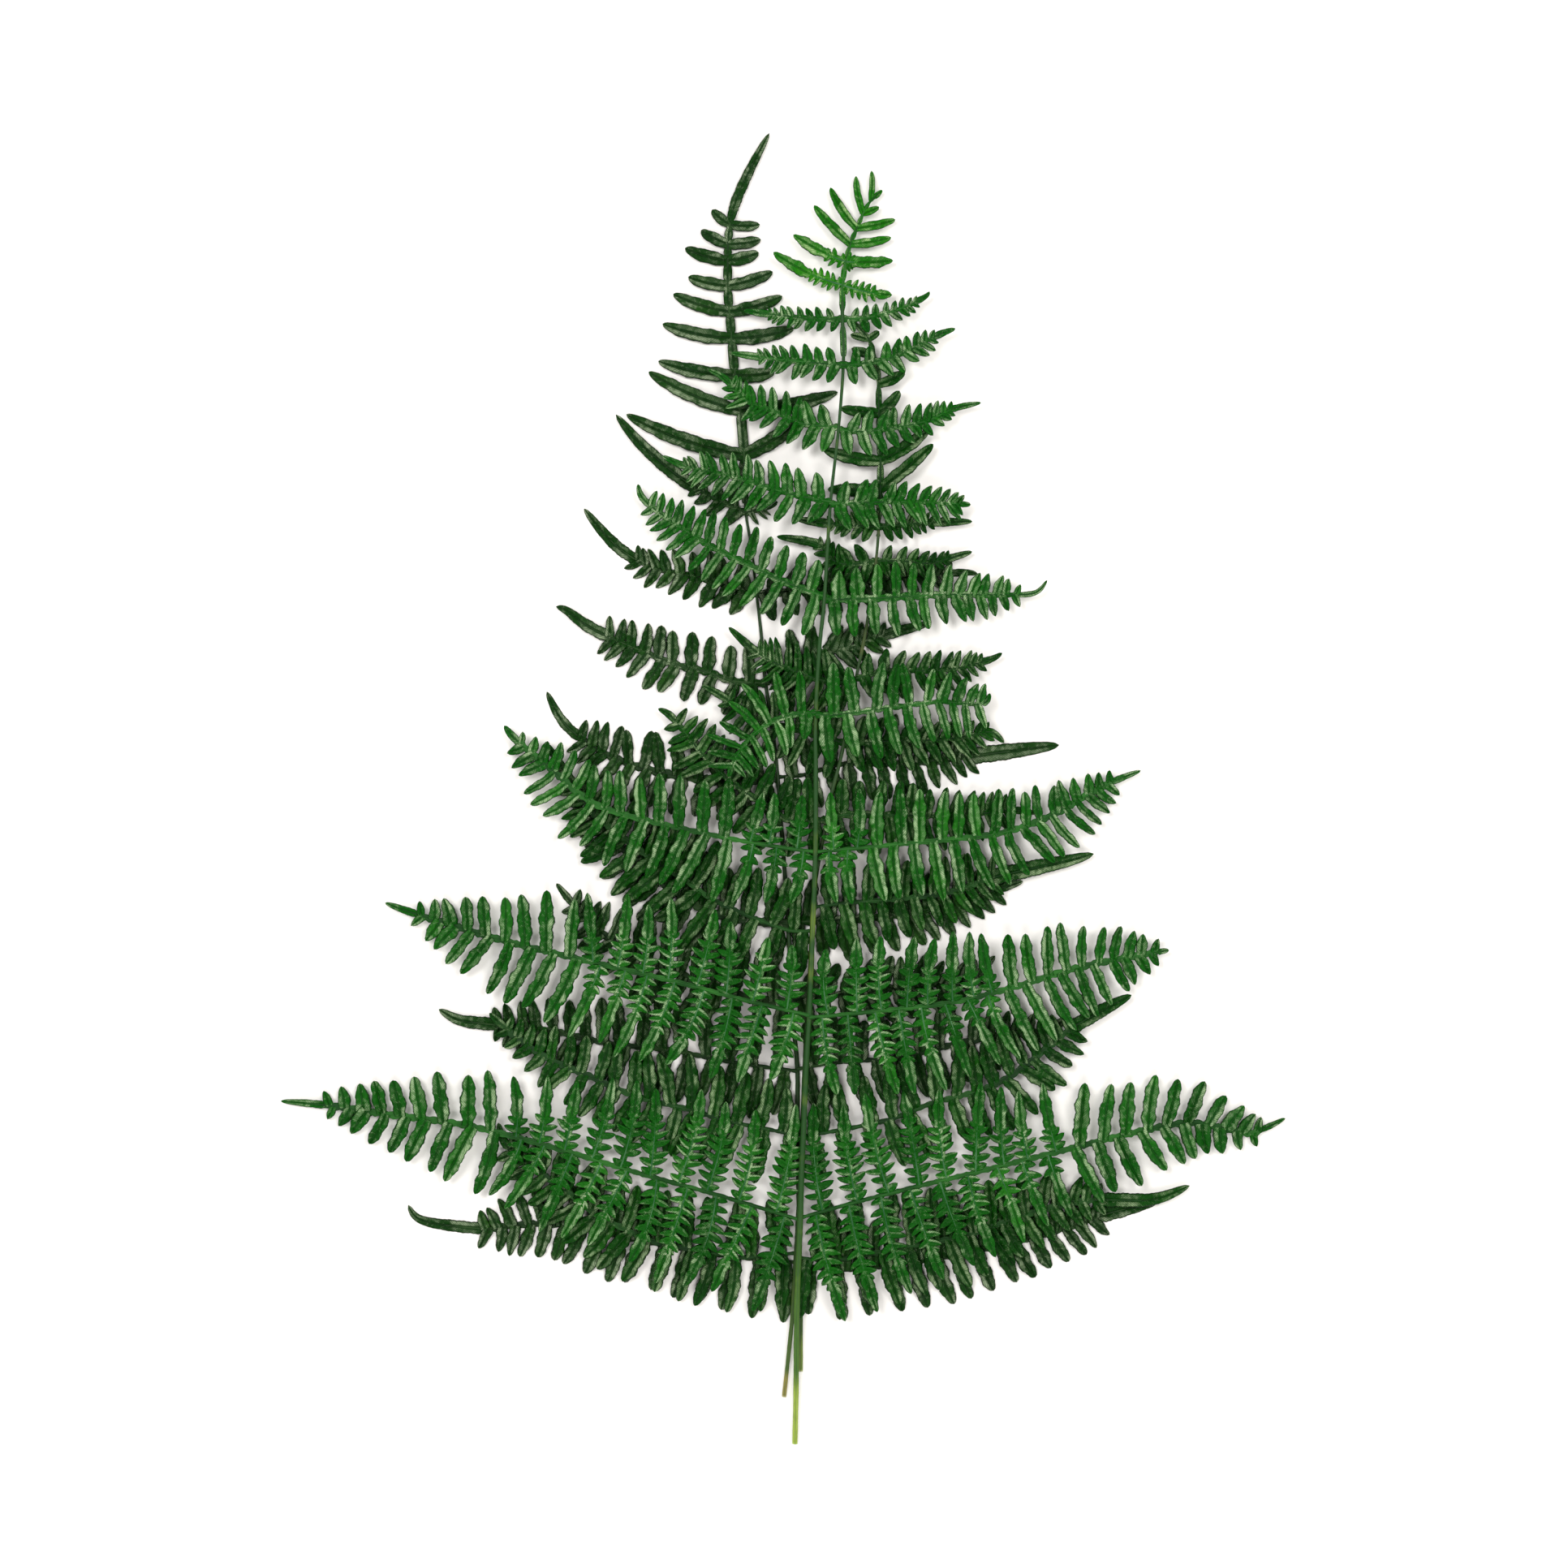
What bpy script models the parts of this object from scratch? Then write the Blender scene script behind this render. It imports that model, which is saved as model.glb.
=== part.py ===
"""A bunch of three cut bracken fronds lying flat, stems crossing at the foot.

The back left frond lies on the table, the back right frond on top of it and the front
frond on top of both. Each pinna is one thin comb of pinnules with a raised midrib.
"""

import math

import bpy

# Driving dimensions, in metres.
BUNCH_LENGTH = 0.615
BUNCH_WIDTH = 0.471
STEM_WIDTH = 0.0026
BLADE_THICKNESS = 0.0006
MIDRIB_RISE = 0.0006
MIDRIB_WIDTH = 0.0018
CLEARANCE = 0.0004
ARCH_RISE = 0.007

# The layout below is in millimetres from the front frond's cut end, for a bunch 615 long
# and 471 wide. X runs to the right and Y towards the tips.
LAYOUT_LENGTH = 615.0
LAYOUT_WIDTH = 471.0
SCALE_X = BUNCH_WIDTH / LAYOUT_WIDTH
SCALE_Y = BUNCH_LENGTH / LAYOUT_LENGTH
SCALE_LEAF = min(SCALE_X, SCALE_Y)

# Heights. Neighbouring pinnae of one frond lie one step apart, so that they can overlap.
STEP_UP = BLADE_THICKNESS + MIDRIB_RISE + CLEARANCE
FROND_DEPTH = max(STEM_WIDTH, STEP_UP + BLADE_THICKNESS + MIDRIB_RISE)
LAYER_UP = FROND_DEPTH + CLEARANCE
BACK_ARCH_SHARE = 0.43
STEM_SIDES = 8
SHORT_PINNULE = 15.0
SPACING_RATIO = 0.45

# Rachis points are X, Y, width as a share of the stem width.
FRONT_RACHIS = [
    (0, 0, 0.95), (0.5, 23, 1.0), (0.8, 53, 1.05), (1, 69, 1.1), (2.5, 107, 1.1),
    (3.2, 130, 1.05), (4.2, 152, 1.0), (5.5, 183, 1.0), (6.7, 202, 1.0), (8.2, 240, 0.95),
    (9.5, 278, 0.9), (9.7, 315, 0.85), (9.7, 342, 0.8), (11.4, 373, 0.75),
    (13.7, 396, 0.7), (16.5, 440, 0.6), (20.3, 475, 0.55), (22.6, 506, 0.6),
    (22.2, 527, 0.7), (22.2, 535, 0.7),
]
FRONT_TOP = [
    (22.2, 536), (22.2, 543), (23.8, 554), (26, 562.5), (29, 570), (32, 577),
    (34.8, 582), (37.8, 585), (41, 588),
]
BACK_LEFT_RACHIS = [
    (2.6, 34, 0.85), (2.6, 50, 0.9), (2.5, 72, 0.9), (1.8, 115, 0.9), (1.3, 156, 0.85),
    (1.0, 179, 0.85), (-1.7, 207, 0.8), (-3.2, 244, 0.8), (-8.2, 314, 0.75),
    (-12, 345, 0.7), (-13.9, 358, 0.65), (-15.8, 380, 0.6), (-17.3, 393, 0.55),
    (-20.3, 420, 0.5), (-23, 437, 0.55), (-23.8, 456, 0.6),
]
BACK_LEFT_TOP = [
    (-23.8, 457), (-23.8, 464), (-25.4, 483), (-28.3, 503.5), (-29.8, 521), (-31.4, 540),
    (-31.5, 553), (-31.4, 563), (-30.6, 571), (-29.5, 577), (-26.5, 586), (-20, 600),
    (-12, 615),
]
BACK_RIGHT_RACHIS = [
    (-5.1, 22, 0.75), (-1.3, 59, 0.8), (0.2, 84, 0.85), (2.5, 126, 0.85), (4.8, 183, 0.85),
    (7, 221, 0.8), (8.9, 259, 0.8), (13.9, 288, 0.75), (17.3, 305.5, 0.75),
    (21.9, 324, 0.7), (27.6, 354, 0.65), (33.6, 384, 0.6), (38.2, 416.5, 0.55),
    (39.7, 440, 0.55),
]
BACK_RIGHT_TOP = [
    (39.7, 441), (40, 459), (39.3, 484), (39, 500), (37.5, 509), (34.4, 518), (31, 522),
    (27, 527),
]

# Pinnae: side, rachis station, costa points, tail length and width, pinnules a side,
# pinnule lengths on the upper and the lower side at five even stations, lobed share, sag.
FRONT_PINNAE = [
    ("left", 106, [(-37, 118), (-73, 128), (-113, 140), (-153, 150), (-191, 155),
                   (-219, 159), (-241, 161)],
     20, 3, 19, (50, 43, 31, 19, 6), (51, 46, 34, 21, 6), 0.55, 4),
    ("right", 107, [(27, 114), (58, 122), (83, 128), (119, 137), (160, 147), (183, 151),
                    (198, 149), (213, 146), (222, 149), (230, 153)],
     12, 2.4, 19, (52, 43, 31, 22, 6), (56, 42, 30, 19, 5), 0.5, 4),
    ("left", 202, [(-23, 209), (-57, 218), (-96, 227), (-134, 236), (-162, 244),
                   (-181, 250), (-192, 254)],
     15, 3, 17, (30, 38, 30, 18, 5), (36, 42, 36, 22, 5), 0.5, 4),
    ("right", 201, [(39, 204), (73, 208), (102, 215), (128, 223), (152, 228), (175, 232)],
     5, 2.4, 18, (34, 35, 25, 19, 5), (38, 42, 31, 22, 5), 0.45, 2),
    ("left", 278, [(-18, 282), (-53, 289), (-85, 297), (-99, 304), (-112, 315),
                   (-130, 330), (-136, 337)],
     10, 3.2, 17, (25, 27, 20, 15, 5), (26, 31, 25, 20, 7), 0.2, 0),
    ("right", 278, [(42, 281), (83, 285), (101, 288), (120, 295), (134, 303), (147, 310),
                    (162, 316)],
     14, 2.6, 18, (30, 26, 20, 13, 5), (26, 28, 25, 20, 7), 0.12, 2),
    ("left", 343, [(-5, 341), (-18, 334), (-27, 323), (-31, 313)],
     4, 2.2, 8, (19, 23, 18, 17, 9), (12, 17, 16, 14, 8), 0, 0),
    ("right", 342, [(20, 342), (50, 346), (68, 348), (87, 347), (91, 352)],
     6, 2.4, 10, (24, 23, 19, 13, 9), (21, 24, 21, 18, 12), 0, 0),
    ("left", 397, [(-5, 404), (-26, 414), (-45, 424), (-69, 441), (-73.5, 450)],
     11, 2.8, 14, (16, 18, 17, 12, 7), (20, 20, 17, 13, 6), 0, 0),
    ("right", 396, [(31, 396), (70, 398), (96, 398), (112, 399), (118, 405)],
     16, 2.2, 13, (14, 18, 14, 11, 5), (18, 19, 15, 12, 5), 0, 0),
    ("left", 441, [(-3, 445), (-19, 450), (-35, 454.5), (-51, 458), (-62, 463)],
     12, 2.8, 12, (14, 14, 12, 10, 5), (14, 15, 14, 12, 5), 0, 0),
    ("right", 440, [(41, 441), (61, 441), (82, 440)],
     5, 2.4, 11, (12, 11, 10, 9, 5), (14, 15, 13, 13, 6), 0, 0),
    ("left", 476, [(3, 478), (-10.5, 484), (-23, 489), (-32.5, 499), (-40.5, 503.5)],
     13, 2.8, 10, (11, 13, 11, 9, 5), (13, 13, 11, 10, 5), 0, 0),
    ("right", 475, [(31, 474), (41, 475), (61, 479), (74, 485), (87, 488)],
     14, 2.6, 10, (9, 11, 10, 8, 4), (12, 13, 9, 7, 4), 0, 0),
    ("left", 505, [(11, 506), (-9, 508), (-30, 511)],
     14, 3.0, 8, (8, 9, 8, 7, 4), (10, 10, 9, 8, 4), 0, 0),
    ("right", 505, [(33, 506), (49, 510), (66, 519), (75, 522.5)],
     11, 2.8, 8, (8, 9, 8, 7, 4), (10, 10, 9, 8, 4), 0, 0),
    ("left", 527, [(11, 527), (-5.5, 528.5), (-24, 531)],
     12, 3.0, 8, (6, 6, 6, 5, 3), (7, 7.5, 7, 6, 3), 0, 0),
    ("right", 527, [(33, 527.5), (47, 531), (60, 537), (63, 540)],
     8, 2.4, 8, (6, 6, 6, 5, 3), (7, 7.5, 7, 6, 3), 0, 0),
]
BACK_LEFT_PINNAE = [
    ("left", 85, [(-31, 88), (-68, 94.5), (-105, 102), (-126, 103), (-144, 101),
                  (-163, 102.5), (-174, 104.5), (-179, 107.5), (-181.5, 112)],
     38, 4.6, 16, (28, 26, 22, 17, 9), (29, 25, 22, 17, 10), 0, 0),
    ("right", 84, [(23, 81.5), (61, 86), (99, 93.5), (129, 102), (143, 107), (171, 114)],
     29, 6.0, 15, (25, 23, 21, 18, 10), (25, 23, 21, 18, 12), 0, 0),
    ("left", 175, [(-28, 179), (-59.5, 185), (-87, 188), (-115, 194), (-143, 197),
                   (-157.5, 199), (-167, 204)],
     27, 5.0, 16, (24, 24, 22, 15, 8), (24, 24, 22, 15, 8), 0, 0),
    ("right", 176, [(19, 179), (52, 182), (81, 189), (116, 194), (129, 201)],
     14, 4.0, 14, (20, 20, 18, 14, 7), (24, 24, 20, 15, 7), 0, 0),
    ("left", 207, [(-30, 211), (-74, 229), (-92, 241), (-103, 252), (-112, 263)],
     12, 3.0, 15, (26, 26, 22, 15, 7), (24, 24, 20, 14, 7), 0, 0),
    ("right", 208, [(31, 212), (58, 215), (81, 217), (94, 229)],
     12, 3.4, 12, (15, 16, 16, 14, 8), (20, 20, 18, 14, 7), 0, 0),
    ("left", 244, [(-38, 249), (-68, 268), (-91, 289), (-106, 302)],
     10, 3.4, 13, (22, 24, 22, 16, 8), (22, 24, 22, 16, 8), 0, 0),
    ("right", 245, [(23, 246), (53, 249), (84, 257), (107, 264)],
     12, 3.4, 12, (20, 20, 18, 14, 8), (20, 20, 18, 14, 8), 0, 0),
    ("left", 313, [(-27, 311), (-39, 311.5), (-60, 314.5), (-77, 319), (-91, 325),
                   (-104, 334), (-111, 342), (-116.5, 353)],
     26, 4.0, 12, (18, 20, 18, 15, 9), (18, 20, 18, 15, 9), 0, 0),
    ("right", 313, [(4, 314), (22, 319), (37, 319), (64, 320), (77, 322), (124, 328)],
     41, 6.4, 12, (18, 18, 16, 13, 9), (18, 18, 17, 14, 10), 0, 0),
    ("left", 357, [(-29, 358), (-42, 362.5), (-55, 365.5), (-74, 373), (-90, 380),
                   (-99, 385), (-107, 391), (-112, 393)],
     27, 4.8, 10, (17, 17, 16, 13, 9), (17, 17, 17, 13, 10), 0, 0),
    ("right", 357, [(5, 370), (24, 373), (43.5, 380), (63, 385)],
     22, 4.4, 8, (14, 15, 13, 10, 7), (14, 15, 13, 10, 7), 0, 0),
    ("left", 399, [(-29, 402), (-42, 406), (-62, 410), (-71, 413), (-82, 420), (-91, 429),
                   (-99, 439)],
     34, 4.6, 9, (14, 14, 12, 10, 7), (13, 14, 12, 11, 8), 0, 0),
    ("right", 399, [(8, 401), (46, 406), (78, 409), (86, 408)],
     14, 3.0, 12, (13, 14, 12, 10, 6), (13, 14, 12, 10, 6), 0, 0),
    ("left", 437, [(-34, 442), (-47, 449), (-59, 457.5), (-73, 470), (-84, 483)],
     50, 5.4, 4, (10, 9, 7, 5, 4), (11, 12, 10, 8, 5), 0, 0),
    ("right", 437, [(-18, 438.5), (-8, 442)],
     7, 3.4, 3, (8, 7, 6, 5, 4), (8, 8, 7, 6, 5), 0, 0),
]
BACK_RIGHT_PINNAE = [
    ("left", 90, [(-24.5, 88), (-43.5, 91), (-65, 95), (-77, 100), (-93, 108),
                  (-106, 118), (-120, 128), (-135, 140.5), (-139, 151)],
     12, 3.4, 17, (28, 26, 22, 16, 8), (28, 26, 23, 17, 9), 0, 0),
    ("right", 88, [(17, 86.5), (38, 90), (58, 94), (83, 99), (108.5, 108), (137, 114.5),
                   (167, 115), (185, 121.5)],
     42, 5.4, 16, (28, 27, 24, 17, 7), (28, 27, 22, 16, 8), 0, 0),
    ("left", 145, [(-14, 148.5), (-31, 152), (-51.5, 158), (-75, 164), (-96, 173),
                   (-115, 181), (-130, 191), (-137, 197), (-143, 202.5)],
     9, 3.2, 17, (22, 26, 22, 15, 6), (26, 24, 21, 14, 6), 0, 0),
    ("right", 145, [(22, 148), (45, 153), (63, 160), (85, 166), (99, 172), (114, 183),
                    (131, 196.5), (157.5, 211)],
     31, 5.6, 15, (24, 26, 23, 18, 8), (22, 23, 24, 20, 10), 0, 0),
    ("left", 241, [(-4, 241.5), (-24, 249), (-39, 256), (-53, 266), (-69, 276),
                   (-93, 295), (-104, 310), (-117, 329.5)],
     24, 3.8, 16, (24, 24, 22, 16, 8), (22, 28, 27, 20, 8), 0, 0),
    ("right", 252, [(23, 254), (48, 256), (72, 259), (93, 266), (115, 271), (129, 274),
                    (140, 277)],
     48, 6.4, 12, (22, 20, 18, 16, 10), (24, 20, 17, 15, 10), 0, 0),
    ("left", 293, [(-1, 292.5), (-13, 299), (-30, 311), (-43.5, 324), (-57, 340.5),
                   (-64, 345)],
     10, 3.0, 12, (20, 20, 18, 14, 7), (18, 20, 18, 14, 7), 0, 0),
    ("right", 293, [(26, 295.5), (55, 295), (83, 295.5), (101, 297.5), (113, 296)],
     11, 3.0, 13, (17, 16, 13, 11, 6), (19, 19, 17, 13, 7), 0, 0),
    ("left", 329, [(8, 333), (-23, 342), (-32, 349.5), (-43.5, 356)],
     14, 3.2, 10, (18, 18, 16, 12, 6), (18, 18, 16, 12, 6), 0, 0),
    ("right", 328, [(46, 330), (69, 330.5), (85, 333), (92, 334), (98, 329)],
     10, 3.0, 11, (14, 13, 10, 9, 5), (16, 16, 14, 12, 6), 0, 0),
    ("left", 358, [(16, 357.5), (0, 362.5), (-16, 370), (-31, 383)],
     18, 3.4, 10, (16, 16, 15, 12, 6), (16, 16, 15, 12, 6), 0, 0),
    ("right", 359, [(43.5, 362.5), (70, 363), (90, 367.5), (97, 371)],
     11, 2.8, 11, (11, 11, 10, 9, 5), (14, 14, 12, 10, 5), 0, 0),
    ("left", 414, [(24, 412.5), (17, 415), (10.5, 422), (-8.5, 425.5)],
     20, 3.6, 6, (10, 10, 9, 7, 4), (10, 10, 9, 7, 4), 0, 0),
    ("right", 414, [(50, 414), (63, 413), (73, 415.5), (83, 418.5)],
     12, 3.0, 7, (8, 8, 7, 6, 4), (9, 9, 8, 6, 4), 0, 0),
    ("left", 430, [(20, 431), (0.5, 433.5)],
     16, 3.6, 5, (8, 8, 7, 6, 4), (8, 8, 7, 6, 4), 0, 0),
    ("right", 430, [(63, 432), (83, 432.5)],
     19, 3.6, 6, (8, 8, 7, 6, 4), (8, 8, 7, 6, 4), 0, 0),
]

# Simple blades at a frond's tip: station along Y, left tip, right tip, blade width.
FRONT_BLADES = [
    (542.5, (-10.5, 558), (45.5, 538), 3.0),
    (554, (-1, 566.5), (46, 554.5), 3.2),
    (562.5, (9, 580.5), (45, 565.5), 3.2),
    (570, (16.5, 589), (47, 574), 3.0),
    (576.5, (28.5, 594.5), (39.5, 580), 2.4),
    (582.5, (36, 597), None, 2.0),
]
BACK_LEFT_BLADES = [
    (464, (-79, 483), (2.5, 481), 5.0),
    (485, (-68.5, 503), (20, 493.5), 4.8),
    (501, (-64, 508), (-9.5, 503), 4.6),
    (518, (-62, 525.5), (-0.5, 523.5), 4.6),
    (530.5, (-57, 539.5), (-6, 538.5), 4.4),
    (543, (-50, 547.5), (-10.5, 550), 4.2),
    (554.5, (-51.5, 561), (-17, 559), 4.2),
    (563, (-44, 569.5), (-16, 565), 3.8),
    (572, (-39, 579), (-16.5, 572), 3.4),
]
BACK_RIGHT_BLADES = [
    (447.5, (15.5, 447.5), (64.5, 468.5), 4.4),
    (460, (13, 466.5), (62.5, 475), 4.4),
    (483, (21.5, 485.5), (49, 493.5), 3.8),
    (496, None, (51.5, 502.5), 3.6),
    (509.5, (26.5, 513.5), None, 3.0),
    (518, (26, 520), (39.5, 521.5), 2.6),
]
# Name, layer from the table up, rachis, tip axis, tip length, pinnae, blades, two greens.
FRONDS = [
    ("back_left_frond", 0, BACK_LEFT_RACHIS, BACK_LEFT_TOP, 41, BACK_LEFT_PINNAE,
     BACK_LEFT_BLADES, (0.035, 0.12, 0.03), (0.10, 0.17, 0.06)),
    ("back_right_frond", 1, BACK_RIGHT_RACHIS, BACK_RIGHT_TOP, 9, BACK_RIGHT_PINNAE,
     BACK_RIGHT_BLADES, (0.04, 0.14, 0.035), (0.12, 0.18, 0.08)),
    ("front_frond", 2, FRONT_RACHIS, FRONT_TOP, 4, FRONT_PINNAE,
     FRONT_BLADES, (0.045, 0.20, 0.04), (0.16, 0.26, 0.09)),
]


def ramp(value, low, high):
    """Zero below low, one above high and a smooth rise between."""
    part = min(1.0, max(0.0, (value - low) / (high - low)))
    return part * part * (3.0 - 2.0 * part)


def between(table, value, column):
    """Straight interpolation down a table sorted by its second column."""
    if value <= table[0][1]:
        return table[0][column]
    for first, second in zip(table, table[1:]):
        if value <= second[1]:
            part = (value - first[1]) / (second[1] - first[1])
            return first[column] + part * (second[column] - first[column])
    return table[-1][column]


def profile(values, share):
    """A value from an evenly spaced list, at a share of its length."""
    place = min(max(share, 0.0), 1.0) * (len(values) - 1)
    first = min(int(place), len(values) - 2)
    return values[first] + (place - first) * (values[first + 1] - values[first])


def arch(x, y):
    """How far the bunch rises at a place, from 0 at its edge to 1 at the middle."""
    axis = between(FRONT_RACHIS + FRONT_TOP, y, 0)
    reach = 30.0 + 0.4 * (600.0 - y)
    across = min(1.0, abs(x - axis) / reach)
    return (1.0 - across * across) * ramp(y, 50, 200) * (1.0 - ramp(y, 430, 600))


def sheet(layer, x, y):
    """Height of the underside of a frond above the table, in metres."""
    if layer == 0:
        return 0.0
    if layer == 1:
        return LAYER_UP + BACK_ARCH_SHARE * ARCH_RISE * arch(x, y)
    lowered = (LAYER_UP - CLEARANCE) * ramp(y, 530, 580)
    return 2 * LAYER_UP - lowered + ARCH_RISE * arch(x, y)


def smooth_path(points, step=2.0):
    """A Catmull-Rom curve through points, as evenly dense samples with distances."""
    ends = [points[0]] + list(points) + [points[-1]]
    curve = []
    for one, two, three, four in zip(ends, ends[1:], ends[2:], ends[3:]):
        count = max(2, int(math.dist(two, three) / step))
        for i in range(count):
            t = i / count
            curve.append(tuple(
                0.5 * (2 * b + (c - a) * t + (2 * a - 5 * b + 4 * c - d) * t * t
                       + (3 * b - a - 3 * c + d) * t * t * t)
                for a, b, c, d in zip(one, two, three, four)
            ))
    curve.append(tuple(points[-1]))
    reached = [0.0]
    for first, second in zip(curve, curve[1:]):
        reached.append(reached[-1] + math.dist(first, second))
    return curve, reached


def along(path, distance):
    """The point at a distance along a path and the unit direction there."""
    curve, reached = path
    distance = min(max(distance, 0.0), reached[-1])
    i = 0
    while i < len(reached) - 2 and reached[i + 1] < distance:
        i += 1
    span = reached[i + 1] - reached[i]
    part = (distance - reached[i]) / span
    first, second = curve[i], curve[i + 1]
    heading = ((second[0] - first[0]) / span, (second[1] - first[1]) / span)
    return (first[0] + part * (second[0] - first[0]),
            first[1] + part * (second[1] - first[1])), heading


def station_at(path, height):
    """The distance along a rising path at which it reaches a Y."""
    curve, reached = path
    for i in range(len(curve) - 1):
        if curve[i + 1][1] >= height:
            span = curve[i + 1][1] - curve[i][1]
            part = (height - curve[i][1]) / span if span > 1e-9 else 0.0
            return reached[i] + max(0.0, part) * (reached[i + 1] - reached[i])
    return reached[-1]


class Plan:
    """A flat triangulated outline that is given a thickness."""

    def __init__(self):
        self.points = []
        self.rises = []
        self.sags = []
        self.triangles = []

    def add(self, point, rise=0.0, sag=0.0):
        self.points.append(point)
        self.rises.append(rise)
        self.sags.append(sag)
        return len(self.points) - 1

    def face(self, *corners):
        for i in range(1, len(corners) - 1):
            a, b, c = corners[0], corners[i], corners[i + 1]
            (ax, ay), (bx, by), (cx, cy) = (self.points[k] for k in (a, b, c))
            turn = (bx - ax) * (cy - ay) - (by - ay) * (cx - ax)
            self.triangles.append((a, b, c) if turn > 0 else (a, c, b))


def build_object(name, vertices, faces, color, roughness):
    mesh = bpy.data.meshes.new(name)
    mesh.from_pydata(vertices, [], faces)
    mesh.update()
    thing = bpy.data.objects.new(name, mesh)
    bpy.context.scene.collection.objects.link(thing)
    material = bpy.data.materials.new(name + "_material")
    material.use_nodes = True
    shader = material.node_tree.nodes["Principled BSDF"]
    shader.inputs["Base Color"].default_value = (*color, 1.0)
    shader.inputs["Roughness"].default_value = roughness
    mesh.materials.append(material)
    return thing


def thicken(name, plan, layer, level, color):
    """A closed body from a plan: its top, its underside and a wall round its outline."""
    count = len(plan.points)
    tops = []
    undersides = []
    for (x, y), rise, sag in zip(plan.points, plan.rises, plan.sags):
        low = sheet(layer, x, y) + level * STEP_UP - 0.001 * sag
        undersides.append((x * SCALE_X, y * SCALE_Y, low))
        tops.append((x * SCALE_X, y * SCALE_Y, low + BLADE_THICKNESS + rise * MIDRIB_RISE))
    faces = list(plan.triangles)
    faces += [(a + count, c + count, b + count) for a, b, c in plan.triangles]
    sides = {}
    for triangle in plan.triangles:
        for a, b in zip(triangle, triangle[1:] + triangle[:1]):
            sides[(a, b)] = sides.get((a, b), 0) + 1
    for a, b in sides:
        if (b, a) not in sides:
            faces.append((a, a + count, b + count))
            faces.append((a, b + count, b))
    return build_object(name, tops + undersides, faces, color, 0.45)


def add_blade(plan, near, far, tip, shape, pointed, bend=0.0, sag=0.0):
    """A blade from two corners on the midrib to its tip, as a strip of faces."""
    (ax, ay), (bx, by) = plan.points[near], plan.points[far]
    sx, sy = (ax + bx) / 2, (ay + by) / 2
    dx, dy = tip[0] - sx, tip[1] - sy
    length = math.hypot(dx, dy)
    ux, uy = dx / length, dy / length
    across = (bx - ax) * -uy + (by - ay) * ux
    side = 1.0 if across > 0 else -1.0
    last_near, last_far = near, far
    for share, half in shape:
        off = 4.0 * bend * share * (1.0 - share)
        cx = sx + dx * share - uy * off
        cy = sy + dy * share + ux * off
        new_near = plan.add((cx + uy * half * side, cy - ux * half * side), 0.0, sag)
        new_far = plan.add((cx - uy * half * side, cy + ux * half * side), 0.0, sag)
        plan.face(last_near, last_far, new_far, new_near)
        last_near, last_far = new_near, new_far
    if pointed:
        plan.face(last_near, last_far, plan.add(tip, 0.0, sag))


def pinnule_shape(length, spacing, lobed, layer):
    """Half widths along a pinnule in plan, and whether it ends in a point."""
    if lobed:
        return [(0.42, 0.45 * spacing), (0.66, 0.26 * spacing)], True
    if layer < 2 or length < SHORT_PINNULE:
        return [], True
    return [(0.94, 0.17 * spacing)], False


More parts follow.
